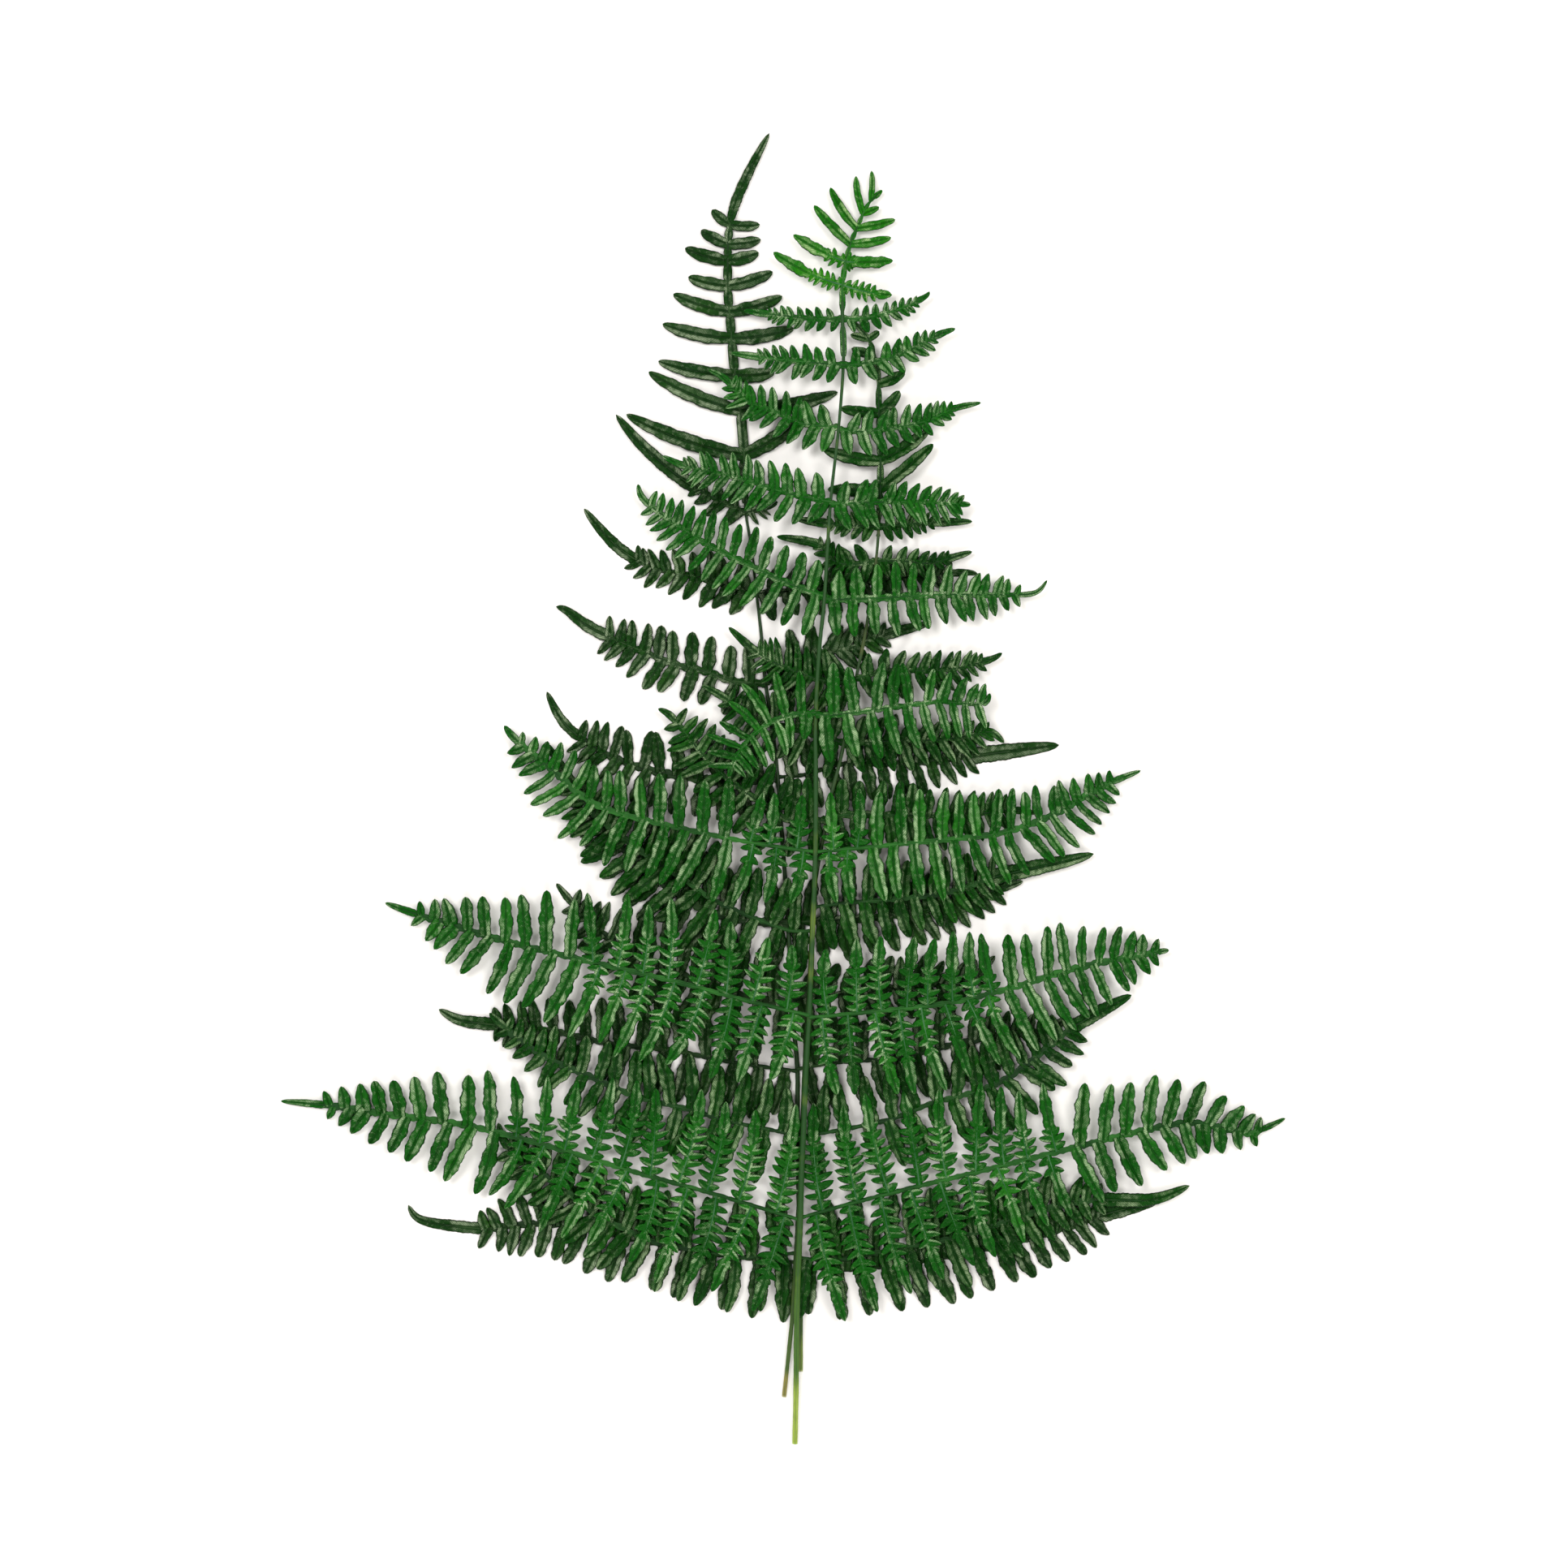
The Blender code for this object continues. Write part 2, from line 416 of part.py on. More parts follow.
def make_pinna(name, frond, layer, level, row, color):
    side, station, costa, tail, tail_width, count, upper, lower, lobed, sag = row
    rachis = frond[2]
    away = -1.0 if side == "left" else 1.0
    foot = (between(rachis, station, 0), float(station))
    path = smooth_path([foot] + costa)
    total = path[1][-1]
    stem_half = 0.5 * STEM_WIDTH * between(rachis, station, 2) / SCALE_X
    start = stem_half + CLEARANCE / SCALE_X
    divided = total - tail - start
    half_rib = 0.5 * MIDRIB_WIDTH / SCALE_LEAF
    plan = Plan()

    def sag_at(distance):
        return sag * ramp(distance / total, 0.5, 1.0)

    ratio = SPACING_RATIO - 1.0
    stations = []
    for k in range(count + 1):
        share = k / count
        stations.append(start + divided * share * (1 + ratio * share / 2) / (1 + ratio / 2))
    rows = []
    for distance in stations:
        (x, y), (ux, uy) = along(path, distance)
        half = half_rib * (1.0 - 0.45 * distance / total)
        drop = sag_at(distance)
        rows.append((
            plan.add((x, y), 1.0 - 0.5 * distance / total, drop),
            plan.add((x - uy * half, y + ux * half), 0.0, drop),
            plan.add((x + uy * half, y - ux * half), 0.0, drop),
        ))
    for k in range(count):
        here, there = rows[k], rows[k + 1]
        middle = (stations[k] + stations[k + 1]) / 2
        spacing = stations[k + 1] - stations[k]
        share = (k + 0.5) / count
        lean = math.radians(2.0 + 28.0 * share)
        (x, y), (ux, uy) = along(path, middle)
        for which, turn in ((1, 1.0), (2, -1.0)):
            plan.face(here[0], there[0], there[which], here[which])
            is_upper = (turn > 0) == (away > 0)
            length = profile(upper if is_upper else lower, share)
            nx, ny = -uy * turn, ux * turn
            dx = nx * math.cos(lean) + ux * math.sin(lean)
            dy = ny * math.cos(lean) + uy * math.sin(lean)
            tip = [x + dx * length, y + dy * length]
            clear = stem_half + 0.3 * spacing + 1.5
            limit = between(rachis, tip[1], 0) + away * clear
            if (tip[0] - limit) * away < 0:
                tip[0] = limit
            is_lobed = share < lobed and length > 20
            shape, pointed = pinnule_shape(length, spacing, is_lobed, layer)
            add_blade(plan, here[which], there[which], tuple(tip), shape, pointed,
                      0.0, sag_at(middle))
    last = rows[-1]
    for share, half in ((0.3, 0.42 * tail_width), (0.65, 0.34 * tail_width)):
        distance = total - tail * (1.0 - share)
        (x, y), (ux, uy) = along(path, distance)
        drop = sag_at(distance)
        new = (
            plan.add((x, y), 0.5 * (1.0 - share), drop),
            plan.add((x - uy * half, y + ux * half), 0.0, drop),
            plan.add((x + uy * half, y - ux * half), 0.0, drop),
        )
        plan.face(last[0], new[0], new[1], last[1])
        plan.face(last[0], new[0], new[2], last[2])
        last = new
    tip = plan.add(along(path, total)[0], 0.0, sag_at(total))
    plan.face(last[0], tip, last[1])
    plan.face(last[0], tip, last[2])
    thicken(name, plan, layer, level, color)


def make_crown(name, frond, layer, level, color):
    """The frond's tip: an axis with simple blades, ending in one blade of its own."""
    axis, tail, blades = frond[3], frond[4], frond[6]
    path = smooth_path(axis)
    total = path[1][-1]
    half_rib = 0.5 * MIDRIB_WIDTH / SCALE_LEAF
    plan = Plan()

    def cross(distance):
        (x, y), (ux, uy) = along(path, distance)
        half = half_rib * (1.0 - 0.4 * distance / total)
        return (
            plan.add((x, y), 1.0 - 0.6 * distance / total),
            plan.add((x - uy * half, y + ux * half)),
            plan.add((x + uy * half, y - ux * half)),
        )

    last = cross(0.3)
    for station, left_tip, right_tip, width in blades:
        middle = station_at(path, station)
        first = cross(max(0.6, middle - 0.5 * width))
        second = cross(middle + 0.5 * width)
        for one, two in ((last, first), (first, second)):
            plan.face(one[0], two[0], two[1], one[1])
            plan.face(one[0], two[0], two[2], one[2])
        for which, tip in ((1, left_tip), (2, right_tip)):
            if tip is not None:
                shape = [(0.4, 0.5 * width), (0.75, 0.36 * width)]
                add_blade(plan, first[which], second[which], tip, shape, True)
        last = second
    neck = cross(max(total - tail, middle + 0.6 * width))
    plan.face(last[0], neck[0], neck[1], last[1])
    plan.face(last[0], neck[0], neck[2], last[2])
    last = neck
    if tail > 20:
        for share, half in ((0.3, 2.2), (0.7, 1.7)):
            (x, y), (ux, uy) = along(path, total - tail * (1.0 - share))
            new = (
                plan.add((x, y), 0.3 * (1.0 - share)),
                plan.add((x - uy * half, y + ux * half)),
                plan.add((x + uy * half, y - ux * half)),
            )
            plan.face(last[0], new[0], new[1], last[1])
            plan.face(last[0], new[0], new[2], last[2])
            last = new
    tip = plan.add(along(path, total)[0])
    plan.face(last[0], tip, last[1])
    plan.face(last[0], tip, last[2])
    thicken(name, plan, layer, level, color)


def stem_height(layer, x, y, half, foot):
    """Height of a rachis axis: on the table at its cut end, on its own layer above."""
    raised = sheet(layer, x, y) + half
    if layer == 0:
        return raised
    return half + (raised - half) * min(1.0, max(0.0, (y - foot) / (58.0 - foot)))


def make_rachis(name, frond, layer, color):
    rachis = frond[2]
    path = smooth_path([(x, y) for x, y, _ in rachis])
    total = path[1][-1]
    count = max(8, int(total / 24.0))
    vertices = []
    faces = []
    for k in range(count + 1):
        (x, y), (ux, uy) = along(path, total * k / count)
        half = 0.5 * STEM_WIDTH * between(rachis, y, 2)
        z = stem_height(layer, x, y, half, rachis[0][1])
        for i in range(STEM_SIDES):
            angle = 2 * math.pi * (i + 0.5) / STEM_SIDES
            out = half * math.cos(angle)
            vertices.append((x * SCALE_X + uy * out, y * SCALE_Y - ux * out,
                             z + half * math.sin(angle)))
    for k in range(count):
        for i in range(STEM_SIDES):
            a = k * STEM_SIDES + i
            b = k * STEM_SIDES + (i + 1) % STEM_SIDES
            faces.append((a, b, b + STEM_SIDES, a + STEM_SIDES))
    faces.append(tuple(reversed(range(STEM_SIDES))))
    faces.append(tuple(range(count * STEM_SIDES, (count + 1) * STEM_SIDES)))
    thing = build_object(name, vertices, [face[::-1] for face in faces], color, 0.55)
    return thing


def centre_on_table(things):
    """Puts the middle of the whole outline on the origin and its lowest point at zero."""
    points = [vertex.co for thing in things for vertex in thing.data.vertices]
    middle_x = (min(p.x for p in points) + max(p.x for p in points)) / 2
    middle_y = (min(p.y for p in points) + max(p.y for p in points)) / 2
    lowest = min(p.z for p in points)
    for thing in things:
        for vertex in thing.data.vertices:
            vertex.co.x -= middle_x
            vertex.co.y -= middle_y
            vertex.co.z -= lowest


def main():
    for old in list(bpy.data.objects):
        bpy.data.objects.remove(old)
    for frond in FRONDS:
        name, layer = frond[0], frond[1]
        leaf_color, stem_color = frond[7], frond[8]
        make_rachis(name + "_rachis", frond, layer, stem_color)
        pairs = 0
        for i, row in enumerate(frond[5]):
            pairs = i // 2
            title = f"{name}_{row[0]}_pinna_{pairs + 1:02d}"
            make_pinna(title, frond, layer, pairs % 2, row, leaf_color)
        make_crown(name + "_tip", frond, layer, (pairs + 1) % 2, leaf_color)
    centre_on_table(list(bpy.data.objects))


main()
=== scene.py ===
"""Looks for a bunch of three cut bracken fronds lying flat on a pale surface."""

import math
from collections import namedtuple

import bpy
import numpy as np
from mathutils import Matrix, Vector


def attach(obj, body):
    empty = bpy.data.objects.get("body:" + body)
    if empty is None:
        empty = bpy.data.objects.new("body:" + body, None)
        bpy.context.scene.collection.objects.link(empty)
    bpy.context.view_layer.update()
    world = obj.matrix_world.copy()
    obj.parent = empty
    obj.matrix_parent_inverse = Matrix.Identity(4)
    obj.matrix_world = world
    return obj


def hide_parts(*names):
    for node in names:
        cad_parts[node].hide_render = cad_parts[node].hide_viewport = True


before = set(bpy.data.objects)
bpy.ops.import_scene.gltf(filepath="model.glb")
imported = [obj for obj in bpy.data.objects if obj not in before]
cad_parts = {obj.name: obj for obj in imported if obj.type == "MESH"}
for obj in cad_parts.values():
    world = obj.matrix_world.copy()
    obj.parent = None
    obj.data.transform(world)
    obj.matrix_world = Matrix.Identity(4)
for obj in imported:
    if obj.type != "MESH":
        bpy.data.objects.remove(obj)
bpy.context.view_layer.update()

# Sizes in millimetres, as the solid part has them, measured from the front frond's cut end.
MM = 0.001
STEM_WIDTH = 2.6
BLADE_THICKNESS = 0.6
MIDRIB_RISE = 0.6
CLEARANCE = 0.4
ARCH_RISE = 7.0
BACK_ARCH_SHARE = 0.43
STEP_UP = BLADE_THICKNESS + MIDRIB_RISE + CLEARANCE
LAYER_UP = max(STEM_WIDTH, STEP_UP + BLADE_THICKNESS + MIDRIB_RISE) + CLEARANCE
# Space for a pinnule at a pinna's tip, as a share of the space at its foot.
SPACING_RATIO = 0.45
# The height below which the stems of the upper layers come down to the table.
STEM_LANDS = 58.0
# How high a blade's middle lies above the underside of its frond.
BLADE_MIDDLE = 0.6
# Moves the origin from the front stem's cut end to the middle of the bunch's outline.
TO_MIDDLE = np.array([5.5, -307.5, 0.0])
# Small variations of the leaves come from this, so that every build is the same.
RANDOM = np.random.default_rng(7)

# Layers from the table up, and the materials of a piece in the order of its slots.
BACK_LEFT, BACK_RIGHT, FRONT = range(3)
BLADE, RIB, STEM, MIDVEIN = range(4)
# The third value of a tone: with the sunk midvein of a whole leaf, or plain.
VEINED, PLAIN = 0.0, 1.0

# Rachis points are X, Y, width as a share of the stem width. A crown's axis has X and Y.
FRONT_RACHIS = [
    (0, 0, 0.95), (0.5, 23, 1.0), (0.8, 53, 1.05), (1, 69, 1.1), (2.5, 107, 1.1),
    (3.2, 130, 1.05), (4.2, 152, 1.0), (5.5, 183, 1.0), (6.7, 202, 1.0), (8.2, 240, 0.95),
    (9.5, 278, 0.9), (9.7, 315, 0.85), (9.7, 342, 0.8), (11.4, 373, 0.75),
    (13.7, 396, 0.7), (16.5, 440, 0.6), (20.3, 475, 0.55), (22.6, 506, 0.6),
    (22.2, 527, 0.7), (22.2, 535, 0.7),
]
FRONT_TOP = [
    (22.2, 536), (22.2, 543), (23.8, 554), (26, 562.5), (29, 570), (32, 577),
    (34.8, 582), (37.8, 585), (41, 588),
]
BACK_LEFT_RACHIS = [
    (2.6, 34, 0.85), (2.6, 50, 0.9), (2.5, 72, 0.9), (1.8, 115, 0.9), (1.3, 156, 0.85),
    (1.0, 179, 0.85), (-1.7, 207, 0.8), (-3.2, 244, 0.8), (-8.2, 314, 0.75),
    (-12, 345, 0.7), (-13.9, 358, 0.65), (-15.8, 380, 0.6), (-17.3, 393, 0.55),
    (-20.3, 420, 0.5), (-23, 437, 0.55), (-23.8, 456, 0.6),
]
BACK_LEFT_TOP = [
    (-23.8, 457), (-23.8, 464), (-25.4, 483), (-28.3, 503.5), (-29.8, 521), (-31.4, 540),
    (-31.5, 553), (-31.4, 563), (-30.6, 571), (-29.5, 577), (-26.5, 586), (-20, 600),
    (-12, 615),
]
BACK_RIGHT_RACHIS = [
    (-5.1, 22, 0.75), (-1.3, 59, 0.8), (0.2, 84, 0.85), (2.5, 126, 0.85), (4.8, 183, 0.85),
    (7, 221, 0.8), (8.9, 259, 0.8), (13.9, 288, 0.75), (17.3, 305.5, 0.75),
    (21.9, 324, 0.7), (27.6, 354, 0.65), (33.6, 384, 0.6), (38.2, 416.5, 0.55),
    (39.7, 440, 0.55),
]
BACK_RIGHT_TOP = [
    (39.7, 441), (40, 459), (39.3, 484), (39, 500), (37.5, 509), (34.4, 518), (31, 522),
    (27, 527),
]

# Pinnae: side, rachis station, costa points, tail length and width, pinnules a side,
# pinnule lengths on the upper and the lower side at five even stations, lobed share, sag.
FRONT_PINNAE = [
    ("left", 106, [(-37, 118), (-73, 128), (-113, 140), (-153, 150), (-191, 155),
                   (-219, 159), (-241, 161)],
     20, 3, 19, (50, 43, 31, 19, 6), (51, 46, 34, 21, 6), 0.55, 4),
    ("right", 107, [(27, 114), (58, 122), (83, 128), (119, 137), (160, 147), (183, 151),
                    (198, 149), (213, 146), (222, 149), (230, 153)],
     12, 2.4, 19, (52, 43, 31, 22, 6), (56, 42, 30, 19, 5), 0.5, 4),
    ("left", 202, [(-23, 209), (-57, 218), (-96, 227), (-134, 236), (-162, 244),
                   (-181, 250), (-192, 254)],
     15, 3, 17, (30, 38, 30, 18, 5), (36, 42, 36, 22, 5), 0.5, 4),
    ("right", 201, [(39, 204), (73, 208), (102, 215), (128, 223), (152, 228), (175, 232)],
     5, 2.4, 18, (34, 35, 25, 19, 5), (38, 42, 31, 22, 5), 0.45, 2),
    ("left", 278, [(-18, 282), (-53, 289), (-85, 297), (-99, 304), (-112, 315),
                   (-130, 330), (-136, 337)],
     10, 3.2, 17, (25, 27, 20, 15, 5), (26, 31, 25, 20, 7), 0.2, 0),
    ("right", 278, [(42, 281), (83, 285), (101, 288), (120, 295), (134, 303), (147, 310),
                    (162, 316)],
     14, 2.6, 18, (30, 26, 20, 13, 5), (26, 28, 25, 20, 7), 0.12, 2),
    ("left", 343, [(-5, 341), (-18, 334), (-27, 323), (-31, 313)],
     4, 2.2, 8, (19, 23, 18, 17, 9), (12, 17, 16, 14, 8), 0, 0),
    ("right", 342, [(20, 342), (50, 346), (68, 348), (87, 347), (91, 352)],
     6, 2.4, 10, (24, 23, 19, 13, 9), (21, 24, 21, 18, 12), 0, 0),
    ("left", 397, [(-5, 404), (-26, 414), (-45, 424), (-69, 441), (-73.5, 450)],
     11, 2.8, 14, (16, 18, 17, 12, 7), (20, 20, 17, 13, 6), 0, 0),
    ("right", 396, [(31, 396), (70, 398), (96, 398), (112, 399), (118, 405)],
     16, 2.2, 13, (14, 18, 14, 11, 5), (18, 19, 15, 12, 5), 0, 0),
    ("left", 441, [(-3, 445), (-19, 450), (-35, 454.5), (-51, 458), (-62, 463)],
     12, 2.8, 12, (14, 14, 12, 10, 5), (14, 15, 14, 12, 5), 0, 0),
    ("right", 440, [(41, 441), (61, 441), (82, 440)],
     5, 2.4, 11, (12, 11, 10, 9, 5), (14, 15, 13, 13, 6), 0, 0),
    ("left", 476, [(3, 478), (-10.5, 484), (-23, 489), (-32.5, 499), (-40.5, 503.5)],
     13, 2.8, 10, (11, 13, 11, 9, 5), (13, 13, 11, 10, 5), 0, 0),
    ("right", 475, [(31, 474), (41, 475), (61, 479), (74, 485), (87, 488)],
     14, 2.6, 10, (9, 11, 10, 8, 4), (12, 13, 9, 7, 4), 0, 0),
    ("left", 505, [(11, 506), (-9, 508), (-30, 511)],
     14, 3.0, 8, (8, 9, 8, 7, 4), (10, 10, 9, 8, 4), 0, 0),
    ("right", 505, [(33, 506), (49, 510), (66, 519), (75, 522.5)],
     11, 2.8, 8, (8, 9, 8, 7, 4), (10, 10, 9, 8, 4), 0, 0),
    ("left", 527, [(11, 527), (-5.5, 528.5), (-24, 531)],
     12, 3.0, 8, (6, 6, 6, 5, 3), (7, 7.5, 7, 6, 3), 0, 0),
    ("right", 527, [(33, 527.5), (47, 531), (60, 537), (63, 540)],
     8, 2.4, 8, (6, 6, 6, 5, 3), (7, 7.5, 7, 6, 3), 0, 0),
]
BACK_LEFT_PINNAE = [
    ("left", 85, [(-31, 88), (-68, 94.5), (-105, 102), (-126, 103), (-144, 101),
                  (-163, 102.5), (-174, 104.5), (-179, 107.5), (-181.5, 112)],
     38, 4.6, 16, (28, 26, 22, 17, 9), (29, 25, 22, 17, 10), 0, 0),
    ("right", 84, [(23, 81.5), (61, 86), (99, 93.5), (129, 102), (143, 107), (171, 114)],
     29, 6.0, 15, (25, 23, 21, 18, 10), (25, 23, 21, 18, 12), 0, 0),
    ("left", 175, [(-28, 179), (-59.5, 185), (-87, 188), (-115, 194), (-143, 197),
                   (-157.5, 199), (-167, 204)],
     27, 5.0, 16, (24, 24, 22, 15, 8), (24, 24, 22, 15, 8), 0, 0),
    ("right", 176, [(19, 179), (52, 182), (81, 189), (116, 194), (129, 201)],
     14, 4.0, 14, (20, 20, 18, 14, 7), (24, 24, 20, 15, 7), 0, 0),
    ("left", 207, [(-30, 211), (-74, 229), (-92, 241), (-103, 252), (-112, 263)],
     12, 3.0, 15, (26, 26, 22, 15, 7), (24, 24, 20, 14, 7), 0, 0),
    ("right", 208, [(31, 212), (58, 215), (81, 217), (94, 229)],
     12, 3.4, 12, (15, 16, 16, 14, 8), (20, 20, 18, 14, 7), 0, 0),
    ("left", 244, [(-38, 249), (-68, 268), (-91, 289), (-106, 302)],
     10, 3.4, 13, (22, 24, 22, 16, 8), (22, 24, 22, 16, 8), 0, 0),
    ("right", 245, [(23, 246), (53, 249), (84, 257), (107, 264)],
     12, 3.4, 12, (20, 20, 18, 14, 8), (20, 20, 18, 14, 8), 0, 0),
    ("left", 313, [(-27, 311), (-39, 311.5), (-60, 314.5), (-77, 319), (-91, 325),
                   (-104, 334), (-111, 342), (-116.5, 353)],
     26, 4.0, 12, (18, 20, 18, 15, 9), (18, 20, 18, 15, 9), 0, 0),
    ("right", 313, [(4, 314), (22, 319), (37, 319), (64, 320), (77, 322), (124, 328)],
     41, 6.4, 12, (18, 18, 16, 13, 9), (18, 18, 17, 14, 10), 0, 0),
    ("left", 357, [(-29, 358), (-42, 362.5), (-55, 365.5), (-74, 373), (-90, 380),
                   (-99, 385), (-107, 391), (-112, 393)],
     27, 4.8, 10, (17, 17, 16, 13, 9), (17, 17, 17, 13, 10), 0, 0),
    ("right", 357, [(5, 370), (24, 373), (43.5, 380), (63, 385)],
     22, 4.4, 8, (14, 15, 13, 10, 7), (14, 15, 13, 10, 7), 0, 0),
    ("left", 399, [(-29, 402), (-42, 406), (-62, 410), (-71, 413), (-82, 420), (-91, 429),
                   (-99, 439)],
     34, 4.6, 9, (14, 14, 12, 10, 7), (13, 14, 12, 11, 8), 0, 0),
    ("right", 399, [(8, 401), (46, 406), (78, 409), (86, 408)],
     14, 3.0, 12, (13, 14, 12, 10, 6), (13, 14, 12, 10, 6), 0, 0),
    ("left", 437, [(-34, 442), (-47, 449), (-59, 457.5), (-73, 470), (-84, 483)],
     50, 5.4, 4, (10, 9, 7, 5, 4), (11, 12, 10, 8, 5), 0, 0),
    ("right", 437, [(-18, 438.5), (-8, 442)],
     7, 3.4, 3, (8, 7, 6, 5, 4), (8, 8, 7, 6, 5), 0, 0),
]
BACK_RIGHT_PINNAE = [
    ("left", 90, [(-24.5, 88), (-43.5, 91), (-65, 95), (-77, 100), (-93, 108),
                  (-106, 118), (-120, 128), (-135, 140.5), (-139, 151)],
     12, 3.4, 17, (28, 26, 22, 16, 8), (28, 26, 23, 17, 9), 0, 0),
    ("right", 88, [(17, 86.5), (38, 90), (58, 94), (83, 99), (108.5, 108), (137, 114.5),
                   (167, 115), (185, 121.5)],
     42, 5.4, 16, (28, 27, 24, 17, 7), (28, 27, 22, 16, 8), 0, 0),
    ("left", 145, [(-14, 148.5), (-31, 152), (-51.5, 158), (-75, 164), (-96, 173),
                   (-115, 181), (-130, 191), (-137, 197), (-143, 202.5)],
     9, 3.2, 17, (22, 26, 22, 15, 6), (26, 24, 21, 14, 6), 0, 0),
    ("right", 145, [(22, 148), (45, 153), (63, 160), (85, 166), (99, 172), (114, 183),
                    (131, 196.5), (157.5, 211)],
     31, 5.6, 15, (24, 26, 23, 18, 8), (22, 23, 24, 20, 10), 0, 0),
    ("left", 241, [(-4, 241.5), (-24, 249), (-39, 256), (-53, 266), (-69, 276),
                   (-93, 295), (-104, 310), (-117, 329.5)],
     24, 3.8, 16, (24, 24, 22, 16, 8), (22, 28, 27, 20, 8), 0, 0),
    ("right", 252, [(23, 254), (48, 256), (72, 259), (93, 266), (115, 271), (129, 274),
                    (140, 277)],
     48, 6.4, 12, (22, 20, 18, 16, 10), (24, 20, 17, 15, 10), 0, 0),
    ("left", 293, [(-1, 292.5), (-13, 299), (-30, 311), (-43.5, 324), (-57, 340.5),
                   (-64, 345)],
     10, 3.0, 12, (20, 20, 18, 14, 7), (18, 20, 18, 14, 7), 0, 0),
    ("right", 293, [(26, 295.5), (55, 295), (83, 295.5), (101, 297.5), (113, 296)],
     11, 3.0, 13, (17, 16, 13, 11, 6), (19, 19, 17, 13, 7), 0, 0),
    ("left", 329, [(8, 333), (-23, 342), (-32, 349.5), (-43.5, 356)],
     14, 3.2, 10, (18, 18, 16, 12, 6), (18, 18, 16, 12, 6), 0, 0),
    ("right", 328, [(46, 330), (69, 330.5), (85, 333), (92, 334), (98, 329)],
     10, 3.0, 11, (14, 13, 10, 9, 5), (16, 16, 14, 12, 6), 0, 0),
    ("left", 358, [(16, 357.5), (0, 362.5), (-16, 370), (-31, 383)],
     18, 3.4, 10, (16, 16, 15, 12, 6), (16, 16, 15, 12, 6), 0, 0),
    ("right", 359, [(43.5, 362.5), (70, 363), (90, 367.5), (97, 371)],
     11, 2.8, 11, (11, 11, 10, 9, 5), (14, 14, 12, 10, 5), 0, 0),
    ("left", 414, [(24, 412.5), (17, 415), (10.5, 422), (-8.5, 425.5)],
     20, 3.6, 6, (10, 10, 9, 7, 4), (10, 10, 9, 7, 4), 0, 0),
    ("right", 414, [(50, 414), (63, 413), (73, 415.5), (83, 418.5)],
     12, 3.0, 7, (8, 8, 7, 6, 4), (9, 9, 8, 6, 4), 0, 0),
    ("left", 430, [(20, 431), (0.5, 433.5)],
     16, 3.6, 5, (8, 8, 7, 6, 4), (8, 8, 7, 6, 4), 0, 0),
    ("right", 430, [(63, 432), (83, 432.5)],
     19, 3.6, 6, (8, 8, 7, 6, 4), (8, 8, 7, 6, 4), 0, 0),
]

# Simple blades at a frond's tip: station along Y, left tip, right tip, blade width.
FRONT_BLADES = [
    (542.5, (-10.5, 558), (45.5, 538), 3.0),
    (554, (-1, 566.5), (46, 554.5), 3.2),
    (562.5, (9, 580.5), (45, 565.5), 3.2),
    (570, (16.5, 589), (47, 574), 3.0),
    (576.5, (28.5, 594.5), (39.5, 580), 2.4),
    (582.5, (36, 597), None, 2.0),
]
BACK_LEFT_BLADES = [
    (464, (-79, 483), (2.5, 481), 5.0),
    (485, (-68.5, 503), (20, 493.5), 4.8),
    (501, (-64, 508), (-9.5, 503), 4.6),
    (518, (-62, 525.5), (-0.5, 523.5), 4.6),
    (530.5, (-57, 539.5), (-6, 538.5), 4.4),
    (543, (-50, 547.5), (-10.5, 550), 4.2),
    (554.5, (-51.5, 561), (-17, 559), 4.2),
    (563, (-44, 569.5), (-16, 565), 3.8),
    (572, (-39, 579), (-16.5, 572), 3.4),
]
BACK_RIGHT_BLADES = [
    (447.5, (15.5, 447.5), (64.5, 468.5), 4.4),
    (460, (13, 466.5), (62.5, 475), 4.4),
    (483, (21.5, 485.5), (49, 493.5), 3.8),
    (496, None, (51.5, 502.5), 3.6),
    (509.5, (26.5, 513.5), None, 3.0),
    (518, (26, 520), (39.5, 521.5), 2.6),
]
Frond = namedtuple("Frond", "name layer rachis top tail pinnae blades")
FRONDS = [
    Frond("back_left_frond", BACK_LEFT, BACK_LEFT_RACHIS, BACK_LEFT_TOP, 41,
          BACK_LEFT_PINNAE, BACK_LEFT_BLADES),
    Frond("back_right_frond", BACK_RIGHT, BACK_RIGHT_RACHIS, BACK_RIGHT_TOP, 9,
          BACK_RIGHT_PINNAE, BACK_RIGHT_BLADES),
    Frond("front_frond", FRONT, FRONT_RACHIS, FRONT_TOP, 4, FRONT_PINNAE, FRONT_BLADES),
]
FRONT_AXIS = [row[:2] for row in FRONT_RACHIS + FRONT_TOP]


def ramp(value, low, high):
    """Zero below low, one above high and a smooth rise between."""
    part = np.clip((value - low) / (high - low), 0.0, 1.0)
    return part * part * (3.0 - 2.0 * part)


def between(table, value, column):
    """A column of rows that hold X, Y and more, read at a height along Y."""
    heights = [row[1] for row in table]
    return np.interp(value, heights, [row[column] for row in table])


def profile(values, share):
    """A value from an evenly spaced list, at a share of its length."""
    return float(np.interp(share, np.linspace(0, 1, len(values)), values))


# The bunch is arched about the front axis, wider towards its foot and flat at both ends.
ARCH_HALF_AT_TOP = 30.0
ARCH_WIDENING = 0.4
ARCH_TOP = 600
ARCH_BEGINS, ARCH_IS_FULL, ARCH_FALLS = 50, 200, 430


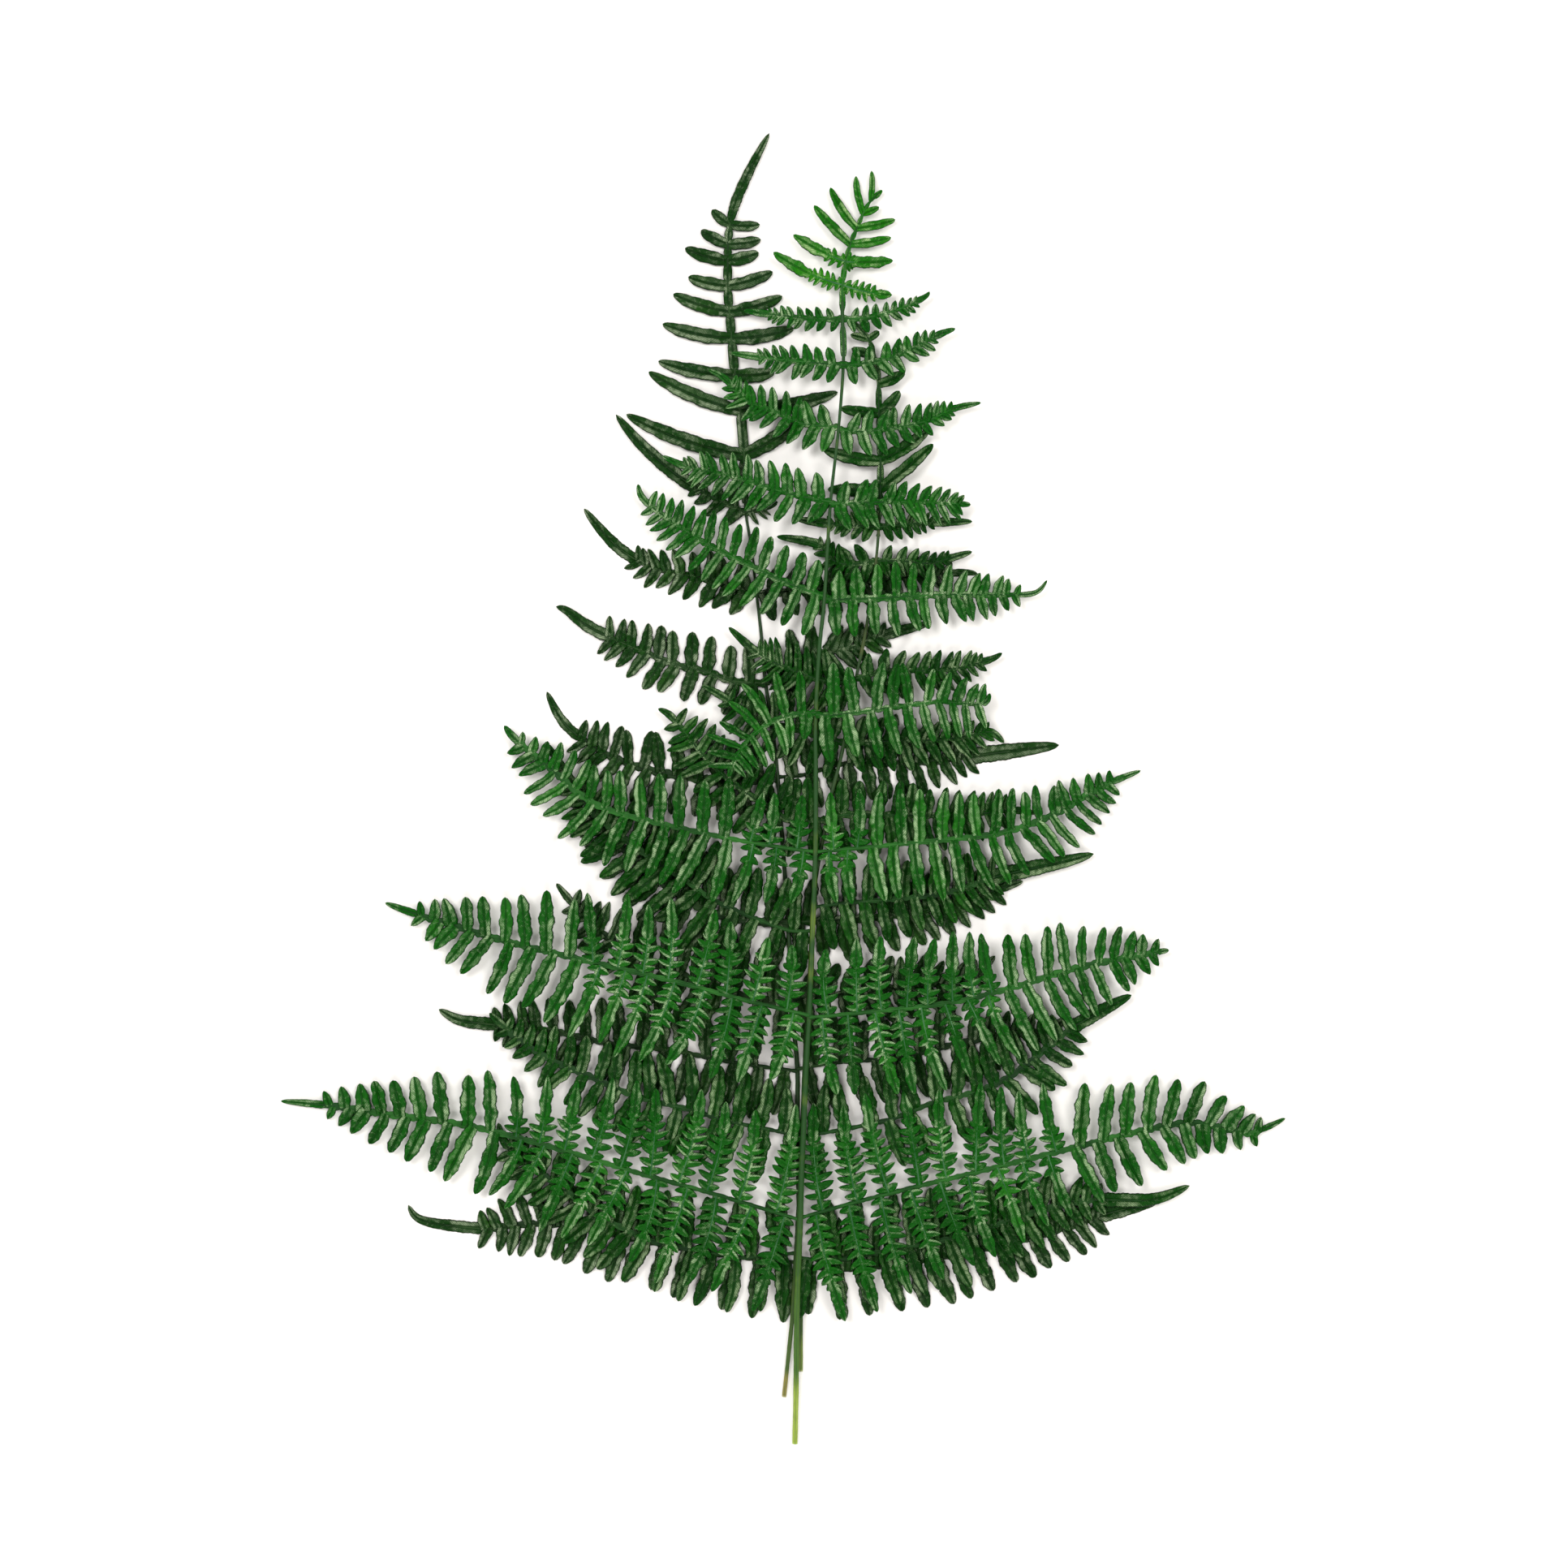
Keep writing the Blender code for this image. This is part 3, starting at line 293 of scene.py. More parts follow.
def arch(x, y):
    """How far the bunch rises at a place, from 0 at its edge to 1 at the middle."""
    axis = between(FRONT_AXIS, y, 0)
    reach = ARCH_HALF_AT_TOP + ARCH_WIDENING * (ARCH_TOP - y)
    across = np.minimum(1.0, np.abs(x - axis) / reach)
    rise = ramp(y, ARCH_BEGINS, ARCH_IS_FULL)
    return (1.0 - across * across) * rise * (1.0 - ramp(y, ARCH_FALLS, ARCH_TOP))


# The front crown comes down by almost one layer between these heights.
CROWN_LOWERS, CROWN_IS_LOW = 530, 580


def sheet(layer, x, y):
    """Height of the underside of a frond above the table."""
    if layer == BACK_LEFT:
        return 0.0 * x
    if layer == BACK_RIGHT:
        return LAYER_UP + BACK_ARCH_SHARE * ARCH_RISE * arch(x, y)
    lowered = (LAYER_UP - CLEARANCE) * ramp(y, CROWN_LOWERS, CROWN_IS_LOW)
    return 2 * LAYER_UP - lowered + ARCH_RISE * arch(x, y)


class Path:
    """A smooth curve through points in plan, read by distance."""

    STEP = 1.0
    # The direction at a place is taken over this length to each side of it.
    LOOK = 0.8

    def __init__(self, points):
        points = [np.array(p[:2], float) for p in points]
        ends = [points[0]] + points + [points[-1]]
        curve = []
        for a, b, c, d in zip(ends, ends[1:], ends[2:], ends[3:]):
            count = max(2, int(np.linalg.norm(c - b) / self.STEP))
            t = (np.arange(count) / count)[:, None]
            curve.append(0.5 * (2 * b + (c - a) * t + (2 * a - 5 * b + 4 * c - d) * t * t
                                + (3 * b - a - 3 * c + d) * t ** 3))
        self.points = np.vstack(curve + [points[-1][None]])
        steps = np.linalg.norm(np.diff(self.points, axis=0), axis=1)
        self.reached = np.concatenate([[0.0], np.cumsum(steps)])
        self.length = self.reached[-1]

    def places(self, distances):
        return np.stack([np.interp(distances, self.reached, self.points[:, k])
                         for k in (0, 1)], 1)

    def at(self, distance):
        """Points and unit directions at distances."""
        d = np.clip(np.atleast_1d(distance), 0.0, self.length)
        ahead = (self.places(np.clip(d + self.LOOK, 0, self.length))
                 - self.places(np.clip(d - self.LOOK, 0, self.length)))
        return self.places(d), ahead / np.linalg.norm(ahead, axis=1)[:, None]

    def where_y(self, height):
        """The distance at which the path first reaches a height along Y."""
        return self.reached[int(np.argmax(self.points[:, 1] >= height))]


class Skin:
    """Gathers grids of points into one mesh with leaf coordinates for its materials."""

    LOWEST = 0.04

    def __init__(self):
        self.points, self.leaf, self.tone = [], [], []
        self.quads, self.kinds = [], []
        self.count = 0

    def grid(self, points, leaf, tone, kind):
        """points is rings x ring points x 3, in millimetres, and each ring is closed."""
        rows, around = points.shape[:2]
        self.points.append(points.reshape(-1, 3))
        self.leaf.append(leaf.reshape(-1, 3))
        self.tone.append(np.broadcast_to(np.array(tone, float), (rows, around, 3)).reshape(-1, 3))
        index = self.count + np.arange(rows * around).reshape(rows, around)
        beside = np.roll(index, -1, axis=1)
        quads = np.stack([index[:-1], beside[:-1], beside[1:], index[1:]], -1).reshape(-1, 4)
        self.quads.append(quads)
        self.kinds.append(np.full(len(quads), kind, np.int32))
        self.count += rows * around

    def build(self, name, materials):
        points = np.vstack(self.points)
        points[:, 2] = np.maximum(points[:, 2], self.LOWEST)
        points = (points + TO_MIDDLE) * MM
        quads = np.vstack(self.quads)
        mesh = bpy.data.meshes.new(name)
        mesh.vertices.add(len(points))
        mesh.vertices.foreach_set("co", points.astype(np.float32).ravel())
        mesh.loops.add(len(quads) * 4)
        mesh.loops.foreach_set("vertex_index", quads.astype(np.int32).ravel())
        mesh.polygons.add(len(quads))
        mesh.polygons.foreach_set("loop_start", np.arange(len(quads), dtype=np.int32) * 4)
        mesh.polygons.foreach_set("material_index", np.concatenate(self.kinds))
        mesh.update(calc_edges=True)
        mesh.shade_smooth()
        for kept, values in (("leaf", self.leaf), ("tone", self.tone)):
            attribute = mesh.attributes.new(kept, "FLOAT_VECTOR", "POINT")
            attribute.data.foreach_set("vector", np.vstack(values).astype(np.float32).ravel())
        for material in materials:
            mesh.materials.append(material)
        thing = bpy.data.objects.new(name, mesh)
        bpy.context.scene.collection.objects.link(thing)
        return thing


def cross_sections(places, headings, aside, heights):
    """Points of rings set square to a line in plan. Aside counts to the line's left."""
    return np.stack([
        places[:, :1] - headings[:, 1:] * aside,
        places[:, 1:] + headings[:, :1] * aside,
        heights,
    ], -1)


def leaf_coordinates(reached, aside, across):
    """For each point: length along the leaf, distance aside and share of the half width."""
    return np.stack([
        np.broadcast_to(reached[:, None], aside.shape),
        aside,
        np.broadcast_to(across[None], aside.shape),
    ], -1)


# A leaf's cross-section from its rolled-under left margin over the top to the right one:
# places across it and heights, both as a share of its half width.
ACROSS = np.array([-0.78, -1.0, -0.94, -0.74, -0.44, -0.15, 0.0, 0.15, 0.44, 0.74, 0.94,
                   1.0, 0.78, 0.0])
RAISED = np.array([-0.42, -0.20, 0.06, 0.17, 0.15, 0.07, -0.05, 0.07, 0.15, 0.17, 0.06,
                   -0.20, -0.42, -0.24])
# The points of it that a small lobe keeps.
SMALL = np.array([1, 3, 5, 6, 7, 9, 11, 13])
ROW_STEP, SMALL_ROW_STEP = 0.75, 1.0
TIP_HALF = 0.03
# Where a leaf with a waist is narrowest and over what length, as shares of its length.
WAIST_AT, WAIST_REACH = 0.04, 0.13
TIP_ROUNDNESS = 0.56
BELLY = 0.12
# Waves of a leaf's margins and of its two halves: each a strength and a length in mm.
MARGIN_WAVES = ((0.5, 2.3), (1.2, 6.7), (1.2, 12.7))
SWELL_WAVES = ((0.10, 7.9), (0.05, 3.7))
ANY_PHASE = 6.28
# How far a leaf's halves are folded up or down, as a mean and a spread.
FOLD = (-0.05, 0.16)
# The share of its roll that a leaf has at its foot.
ROLL_AT_FOOT = 0.3


def leaf_outline(t, pointed, waist):
    """Half width along a leaf from its foot at 0 to its tip at 1, at most 1."""
    tip = np.maximum(1.0 - t ** pointed, 0.0) ** TIP_ROUNDNESS
    foot = 1.0 - waist * np.exp(-((t - WAIST_AT) / WAIST_REACH) ** 2)
    return tip * foot * (1.0 - BELLY + BELLY * np.sin(np.pi * np.minimum(1.0, t * 1.15)))


def waves(reached, table, phases):
    """Sines of several strengths and lengths along a line, added up."""
    return sum(strength * np.sin(reached * 2 * np.pi / length + phase)
               for (strength, length), phase in zip(table, phases))


def bent_line(start, angle, bend, length, t):
    """Points and unit directions of a line that turns evenly from its foot to its tip."""
    heading = angle + bend * t
    headings = np.stack([np.cos(heading), np.sin(heading)], 1)
    step = np.diff(t, prepend=0.0) * length
    return np.array(start) + np.cumsum(step[:, None] * headings, axis=0), headings


def bowed(t, base_z, lift, droop):
    """Height along a leaf that rises from its foot and hangs at its tip."""
    return base_z + lift * np.sin(np.pi * np.minimum(t * 1.1, 1.0)) - droop * t * t


def add_leaf(skin, start, angle, length, half, base_z, *, bend, lift, droop, roll, pointed,
             waist, wave, tone, puff, small=False):
    """One leaf blade from its foot, with rolled-under margins and a sunk midvein."""
    rows = int(np.clip(length / (SMALL_ROW_STEP if small else ROW_STEP), 8, 60))
    t = np.linspace(0.0, 1.0, rows) ** 0.92
    reached = t * length
    places, headings = bent_line(start, angle, bend, length, t)
    width = half * leaf_outline(t, pointed, waist)
    width[-1] = TIP_HALF
    z = np.maximum(bowed(t, base_z, lift, droop), 0.5 * width * puff + 0.1)
    pick = SMALL if small else np.arange(len(ACROSS))
    across, raised = ACROSS[pick], RAISED[pick]
    phase = RANDOM.uniform(0, ANY_PHASE, 6)
    fading = np.minimum(1.0, 4.0 * (1.0 - t))
    left, right = (1.0 + wave * waves(reached, MARGIN_WAVES, phase[i:i + 3]) * fading
                   for i in (0, 3))
    spread = np.where(across[None] < 0, left[:, None], right[:, None])
    side = across[None] * spread * width[:, None]
    fold = RANDOM.normal(*FOLD)
    up = (raised + fold * (np.abs(across) - 0.5))[None] * width[:, None] * puff
    for i, one_half in ((1, across < 0), (4, across > 0)):
        swing = waves(reached, SWELL_WAVES, (phase[i], phase[i - 1]))
        up = up + (swing * width)[:, None] * (np.abs(across) * one_half)[None]
    turned = roll * (ROLL_AT_FOOT + (1.0 - ROLL_AT_FOOT) * t)[:, None]
    aside = side * np.cos(turned) - up * np.sin(turned)
    rise = side * np.sin(turned) + up * np.cos(turned)
    points = cross_sections(places, headings, aside, z[:, None] + rise)
    leaf = leaf_coordinates(reached, side, across)
    # Points run from the right margin to the left, so that faces look outwards.
    skin.grid(points[:, ::-1], leaf[:, ::-1], tone, BLADE)


def add_rib(skin, places, headings, heights, halves, *, tone, flat=0.8, kind=RIB, around=8,
            groove=0.0, cap=False):
    """A rib or stem along a line of places, oval in section, grooved on top if asked."""
    turn = np.linspace(0, 2 * np.pi, around, endpoint=False) + np.pi / around
    out, up = np.cos(turn), np.sin(turn) * flat
    if groove:
        up = np.where(np.sin(turn) > 0.8, up - groove, up)
    side = halves[:, None] * out[None]
    points = cross_sections(places, headings, -side, heights[:, None] + halves[:, None] * up[None])
    reached = np.concatenate([[0], np.cumsum(np.linalg.norm(np.diff(places, axis=0), axis=1))])
    leaf = leaf_coordinates(reached, side, out)
    if cap:
        middle = points[:1].mean(1, keepdims=True)
        points = np.concatenate([np.broadcast_to(middle, points[:1].shape), points])
        leaf = np.concatenate([leaf[:1], leaf])
    skin.grid(points, leaf, tone, kind)


# A lobed pinnule: the reach of its lobes along the cut part, as shares of its half width, and
# their angle to its rib in degrees, which gets less towards its tip.
LOBED_ROWS = 24
LOBED_RIB_ROWS = 16
LOBE_REACH = ([0, 0.25, 0.6, 0.85, 1], [0.62, 0.95, 1.0, 0.72, 0.42])
LOBE_ANGLE, LOBE_ANGLE_LOST, LOBE_ANGLE_SPREAD = 82, 14, 3.5


def add_lobed(skin, start, angle, length, half, base_z, part, *, bend, droop, tone, roll,
              pitch=4.2, plump=1.85):
    """A pinnule cut into lobes along its lower part and entire towards its tip."""
    count = max(2, int(round(length * part / pitch)))
    t = np.linspace(0, 1, LOBED_ROWS)
    line, _ = bent_line(start, angle, bend, length, t)
    x, y, z = line[:, 0], line[:, 1], bowed(t, base_z, 0.9, droop)
    plain = (tone[0], tone[1], PLAIN)
    for k in range(count):
        share = (k + 0.55) / count
        here = part * share
        facing = angle + bend * here
        reach = half * np.interp(share, *LOBE_REACH)
        for sign in (1, -1):
            apart = here + RANDOM.normal(0, 0.1) * part / count
            px, py, pz = (np.interp(apart, t, values) for values in (x, y, z))
            lean = math.radians(LOBE_ANGLE - LOBE_ANGLE_LOST * share
                                + RANDOM.normal(0, LOBE_ANGLE_SPREAD))
            size = reach * RANDOM.uniform(0.9, 1.08)
            add_leaf(skin, (px, py), facing + sign * lean, size,
                     plump * RANDOM.uniform(0.9, 1.1), pz - 0.1, bend=-sign * 0.18,
                     lift=0.5, droop=RANDOM.uniform(0.2, 1.2), roll=sign * 0.12 + roll,
                     pointed=2.5, waist=0.0, wave=0.03, tone=plain, small=True, puff=1.45)
    # The undivided end starts a little inside the lobes.
    begin = part * 0.9
    first = np.interp(begin, t, x), np.interp(begin, t, y)
    rest = length * (1.0 - begin)
    add_leaf(skin, first, angle + bend * part, rest, min(3.0, 0.14 * rest + 1.3),
             float(np.interp(begin, t, z)), bend=bend * (1 - part), lift=0.3,
             droop=droop * (1 - part), roll=roll, pointed=3.6, waist=0.1, wave=0.08,
             tone=tone, puff=1.15)
    # Its own rib lies on a narrow wing that joins the feet of the lobes.
    steps = np.linspace(0, min(1.0, part + 0.1), LOBED_RIB_ROWS)
    places = np.stack([np.interp(steps, t, x), np.interp(steps, t, y)], 1)
    facing = angle + bend * steps
    headings = np.stack([np.cos(facing), np.sin(facing)], 1)
    heights = np.interp(steps, t, z)
    add_rib(skin, places, headings, heights + 0.1, np.linspace(0.5, 0.2, LOBED_RIB_ROWS),
            tone=tone, kind=MIDVEIN, around=6)
    add_rib(skin, places, headings, heights - 0.05, np.linspace(1.7, 2.0, LOBED_RIB_ROWS),
            flat=0.2, tone=plain, kind=BLADE)


# Pinnules lean towards the pinna's tip: degrees at its foot, more on a pinna whose upper
# pinnules are all short, and degrees gained on the way to the tip.
LEAN, SMALL_LEAN, LEAN_GAINED, LEAN_SPREAD = 2.0, 16.0, 22.0, 4.5
SMALL_PINNA = 17
# How far upper pinnules stand ahead, and lower ones back, as a share of their spacing.
OFFSET_SHARE = 0.14
SHORTEST_LOBED = 20


def drawn_pinnules(path, side, start, divided, count, upper, lower, lobed):
    """Each pinnule's foot, facing, turn from the rib, length, spacing, cut share and portion."""
    away = -1.0 if side == "left" else 1.0
    ratio = SPACING_RATIO - 1.0
    drawn = []
    for k in range(count):
        portion = (k + 0.5) / count
        middle = start + divided * portion * (1 + ratio * portion / 2) / (1 + ratio / 2)
        spacing = divided / count * (1 + ratio * portion) / (1 + ratio / 2)
        for turn in (1.0, -1.0):
            is_upper = (turn > 0) == (away > 0)
            shift = OFFSET_SHARE * spacing * (1 if is_upper else -1)
            shift += RANDOM.normal(0, 0.05) * spacing
            (foot,), (ahead,) = path.at(middle + shift)
            length = profile(upper if is_upper else lower, portion) * RANDOM.uniform(0.9, 1.05)
            forward = SMALL_LEAN if max(upper) < SMALL_PINNA else LEAN
            lean = math.radians(forward + LEAN_GAINED * portion + RANDOM.normal(0, LEAN_SPREAD))
            facing = math.atan2(ahead[1], ahead[0]) + turn * (math.pi / 2 - lean)
            cut = 0.0
            if portion < lobed and length > SHORTEST_LOBED:
                cut = 0.25 + 0.45 * min(1.0, (lobed - portion) / 0.3)
            drawn.append((foot, facing, turn, length, spacing, cut, portion))
    return drawn


# A pinna's rib: half width at its foot and how much of it is lost by the tip, thinner on a
# pinna under the full length.
RIB_HALF, RIB_TAPER = 0.72, 0.40
RIB_TIP_HALF = 0.05
FULL_LENGTH = 130.0
LEAST_SLIGHT = 0.65
# The wing of a pinna longer than this looks like its rib, and a shorter one's like its blade.
RIB_WING_LENGTH = 120.0
# The half width of the wing beside the rib, at these shares of the pinna's length.
WING_SHARES = [0, 0.35, 0.75, 1.0]
WING_AT_FOOT, SHORT_WING_AT_FOOT = 0.15, 1.7
# Undivided pinnules: half width as a share of the space for one, at most this many mm.
FRONT_FILL, BACK_FILL = 0.335, 0.39
WIDEST_HALF = 3.5
SHORT_PINNULE = 15.0
SHORT_FILL = 0.45
LONGEST_LOBE = 8.0
# Pinnules near the rachis turn aside, so that their tips stay this far from its side.
RACHIS_GAP = 2.6


def pinna_rib(skin, path, height, tail):
    """The rib of a pinna and the narrow wing of blade that joins its pinnules."""
    total = path.length
    along = np.linspace(0.0, total - 0.55 * tail, int(total / 1.5) + 4)
    places, headings = path.at(along)
    share = along / total
    lumps = 1.0 + 0.10 * np.sin(along * 1.9) + 0.08 * np.sin(along * 0.83 + 1.0)
    slight = float(np.clip(total / FULL_LENGTH, LEAST_SLIGHT, 1.0))
    halves = (RIB_HALF - RIB_TAPER * share) * lumps * slight
    halves[-1] = RIB_TIP_HALF
    add_rib(skin, places, headings, height(places, along) + 0.15, halves, flat=0.85,
            tone=(RANDOM.uniform(0.3, 0.7), share.mean(), VEINED))
    inner = WING_AT_FOOT if total > FULL_LENGTH else SHORT_WING_AT_FOOT
    wing = np.interp(share, WING_SHARES, [inner, max(inner, 0.7), 1.3, 1.4])
    wing = wing * slight * (1.0 - ramp(along, total - 1.3 * tail, total - 0.7 * tail))
    knobs = 1.0 + 0.28 * np.sin(along * 1.35 + 0.6 * np.sin(along * 0.4))
    add_rib(skin, places, headings, height(places, along) - 0.02, halves + wing * knobs,
            flat=0.3, tone=(0.2, 0.0, VEINED), kind=RIB if total > RIB_WING_LENGTH else BLADE,
            around=14, groove=0.1)


def add_pinna(skin, frond, level, row):
    """A side leaf: its rib, its pinnules in pairs and the undivided tail that ends it."""
    side, station, costa, tail, tail_width, count, upper, lower, lobed, sag = row
    layer, rachis = frond.layer, frond.rachis
    away = -1.0 if side == "left" else 1.0
    path = Path([(between(rachis, station, 0), station)] + costa)
    total = path.length
    stem_half = 0.5 * STEM_WIDTH * between(rachis, station, 2)
    start = stem_half + CLEARANCE
    divided = total - tail - start

    def height(places, distance):
        base = sheet(layer, places[..., 0], places[..., 1]) + level * STEP_UP
        return base + BLADE_MIDDLE - sag * ramp(distance / total, 0.5, 1.0)

    pinna_rib(skin, path, height, tail)
    pinnules = drawn_pinnules(path, side, start, divided, count, upper, lower, lobed)
    for foot, facing, turn, length, spacing, cut, portion in pinnules:
        tip_x = foot[0] + length * math.cos(facing)
        tip_y = foot[1] + length * math.sin(facing)
        limit = between(rachis, tip_y, 0) + away * (stem_half + RACHIS_GAP)
        if (tip_x - limit) * away < 0:
            facing = math.atan2(tip_y - foot[1], limit - foot[0])
        base_z = float(height(foot, start + divided * portion))
        bend = -turn * RANDOM.normal(0.16, 0.14)
        facing -= 0.5 * bend
        roll = RANDOM.normal(0.0, 0.16)
        tone = (RANDOM.uniform(0, 1), portion, VEINED)
        if cut:
            add_lobed(skin, foot, facing, length, min(LONGEST_LOBE, 0.46 * spacing + 1.2),
                      base_z, cut, bend=bend, droop=1.2, tone=tone, roll=roll * 0.4)
            continue
        half = (FRONT_FILL if layer == FRONT else BACK_FILL) * spacing
        half = min(half, 0.14 * length + 1.0, WIDEST_HALF) * RANDOM.uniform(0.92, 1.08)
        shape = {"pointed": 7.0, "waist": 0.15}
        if length < SHORT_PINNULE:
            half = min(SHORT_FILL * spacing, 0.3 * length)
            shape = {"pointed": 2.6, "waist": 0.0}
        add_leaf(skin, foot, facing, length, half, base_z - 0.05, bend=bend,
                 lift=0.045 * length, droop=0.05 * length * RANDOM.uniform(0.2, 1.2),
                 roll=roll, tone=tone, wave=0.045 + 0.0012 * length, puff=1.35, **shape)
    add_tail(skin, path, total - tail * 1.08, tail_width * 0.62, height,
             (RANDOM.uniform(0.2, 0.6), 1.0, VEINED))


# A tail's half width at these shares of its length, as shares of the widest.
TAIL_OUTLINE = ([0, 0.1, 0.4, 0.7, 0.88, 0.96, 1], [0.7, 1.0, 1.0, 0.8, 0.58, 0.36, 0.03])


def add_tail(skin, path, begin, half, height, tone):
    """The undivided blade that ends a pinna or a frond, following its path."""
    length = path.length - begin
    t = np.linspace(0, 1, int(np.clip(length / 0.7, 10, 90)))
    reached = t * length
    places, headings = path.at(begin + reached)
    phase = RANDOM.uniform(0, ANY_PHASE, 4)
    wavy = 0.05 * np.sin(reached * 2.7 + phase[0]) + 0.06 * np.sin(reached * 0.9 + phase[1])
    width = half * np.interp(t, *TAIL_OUTLINE) * (1 + wavy * (1 - t))
    side = ACROSS[None] * width[:, None]
    up = RAISED[None] * width[:, None]
    points = cross_sections(places, headings, side, height(places, begin + reached)[:, None] + up)
    leaf = leaf_coordinates(reached, side, ACROSS)
    skin.grid(points[:, ::-1], leaf[:, ::-1], tone, BLADE)


# Blades of the front crown that are cut into lobes at their foot: rank from the lowest, on
# the right; and the share of the length that is cut.
CROWN_CUT = {(0, False): 0.5, (0, True): 0.8, (1, False): 0.35, (1, True): 0.15}
# The crown's axis starts this much lower than the solid's, to meet the rachis.
CROWN_OVERLAP = 2.2
# Half width of the wing along a crown's axis, for each layer.
CROWN_WING = {BACK_LEFT: 2.6, BACK_RIGHT: 1.8, FRONT: 1.5}
# A crown blade's half width as a share of the width in its row, and the even bend of the
# back left ones.
BLADE_HALF, BACK_LEFT_BLADE_HALF = 0.74, 0.77
BACK_LEFT_BEND = 0.38
LONG_TAIL = 20


def add_crown(skin, frond, level):
    """The top of a frond, where simple blades stand on a winged axis."""
    axis, tail, layer = frond.top, frond.tail, frond.layer
    path = Path([(axis[0][0], axis[0][1] - CROWN_OVERLAP)] + axis)
    total = path.length

    def height(places, _):
        return sheet(layer, places[..., 0], places[..., 1]) + level * STEP_UP + BLADE_MIDDLE

    along = np.linspace(0, total - 0.4 * tail, int(total / 0.8))
    places, headings = path.at(along)
    feet = np.array([path.where_y(row[0]) for row in frond.blades])
    apart = np.abs(along[:, None] - feet[None]).min(1)
    swell = (0.55 + 0.45 * ramp(apart, 0.5, 4.5)) * (1.0 - 0.25 * along / total)
    add_rib(skin, places, headings, height(places, along) + 0.2,
            0.62 * (1 - 0.5 * along / total), tone=(0.5, 0.5, VEINED))
    add_rib(skin, places, headings, height(places, along) - 0.05, CROWN_WING[layer] * swell,
            flat=0.3, kind=BLADE, tone=(0.35, 0.5, VEINED), around=14)
    for rank, (station, left_tip, right_tip, width) in enumerate(frond.blades):
        (foot,), _ = path.at(path.where_y(station))
        for tip in (left_tip, right_tip):
            if tip is None:
                continue
            dx, dy = tip[0] - foot[0], tip[1] - foot[1]
            length = math.hypot(dx, dy)
            sign = 1.0 if dx < 0 else -1.0
            bend = -sign * (BACK_LEFT_BEND if layer == BACK_LEFT else RANDOM.uniform(0.1, 0.45))
            facing = math.atan2(dy, dx) - bend / 2
            tone = (RANDOM.uniform(0.2, 0.8), 0.8, VEINED)
            base_z = float(height(foot, 0)) - 0.05
            cut = CROWN_CUT.get((rank, dx > 0), 0.0) if layer == FRONT else 0.0
            if cut:
                add_lobed(skin, foot, facing, length, 5.0, base_z, cut, bend=bend, droop=0.4,
                          tone=tone, roll=0.0, pitch=3.2, plump=1.3)
                continue
            half = width * (BACK_LEFT_BLADE_HALF if layer == BACK_LEFT else BLADE_HALF)
            add_leaf(skin, foot, facing, length * 1.01, half, base_z, bend=bend,
                     lift=0.03 * length, droop=0.02 * length, roll=RANDOM.normal(0, 0.12),
                     pointed=6.5, waist=0.12, wave=0.035, tone=tone, puff=1.1)
    if tail > LONG_TAIL:
        add_tail(skin, path, total - tail * 1.05, 2.5, height, (0.4, 1.0, VEINED))
    else:
        add_tail(skin, path, total - tail * 1.3, 1.3, height, (0.5, 1.0, VEINED))


# Above this height a rachis carries a narrow wing of blade, and its width is scaled by this.
RACHIS_WING = {BACK_LEFT: (440, 1.1), BACK_RIGHT: (425, 0.95), FRONT: (508, 1.0)}


def stem_height(layer, x, y, half, foot):
    """Height of a stem's middle: on the table at its cut end, on its own layer above."""
    raised = sheet(layer, x, y) + half
    if layer == BACK_LEFT:
        return raised
    return half + (raised - half) * np.clip((y - foot) / (STEM_LANDS - foot), 0, 1)


def add_rachis(skin, frond):
    """A frond's stem, closed at its cut end, with a wing along its upper part."""
    path = Path(frond.rachis)
    along = np.linspace(0, path.length, int(path.length / 1.6))
    places, headings = path.at(along)
    x, y = places[:, 0], places[:, 1]
    half = 0.5 * STEM_WIDTH * between(frond.rachis, y, 2)
    z = stem_height(frond.layer, x, y, half, frond.rachis[0][1])
    lumps = 1 + 0.03 * np.sin(along * 0.31) + 0.02 * np.sin(along * 1.1)
    add_rib(skin, places, headings, z, half * lumps, flat=1.0, kind=STEM, around=12,
            groove=0.22, tone=(0.5, 0.5, VEINED), cap=True)
    winged_from, wing = RACHIS_WING[frond.layer]
    upper = y > winged_from
    stations = np.array([row[1] for row in frond.pinnae] + [frond.blades[0][0]])
    apart = np.abs(y[upper][:, None] - stations[None]).min(1)
    add_rib(skin, places[upper], headings[upper], z[upper] + 0.1,
            (0.6 + ramp(apart, 1.5, 7.0)) * wing, flat=0.3, kind=BLADE,
            tone=(0.4, 0.5, VEINED), around=14)


def srgb(red, green, blue):
    """A colour picked as it looks on a screen, as the linear values that a shader takes."""
    return tuple(float(((c / 255 + 0.055) / 1.055) ** 2.4) if c > 10 else c / 255 / 12.92
                 for c in (red, green, blue)) + (1.0,)


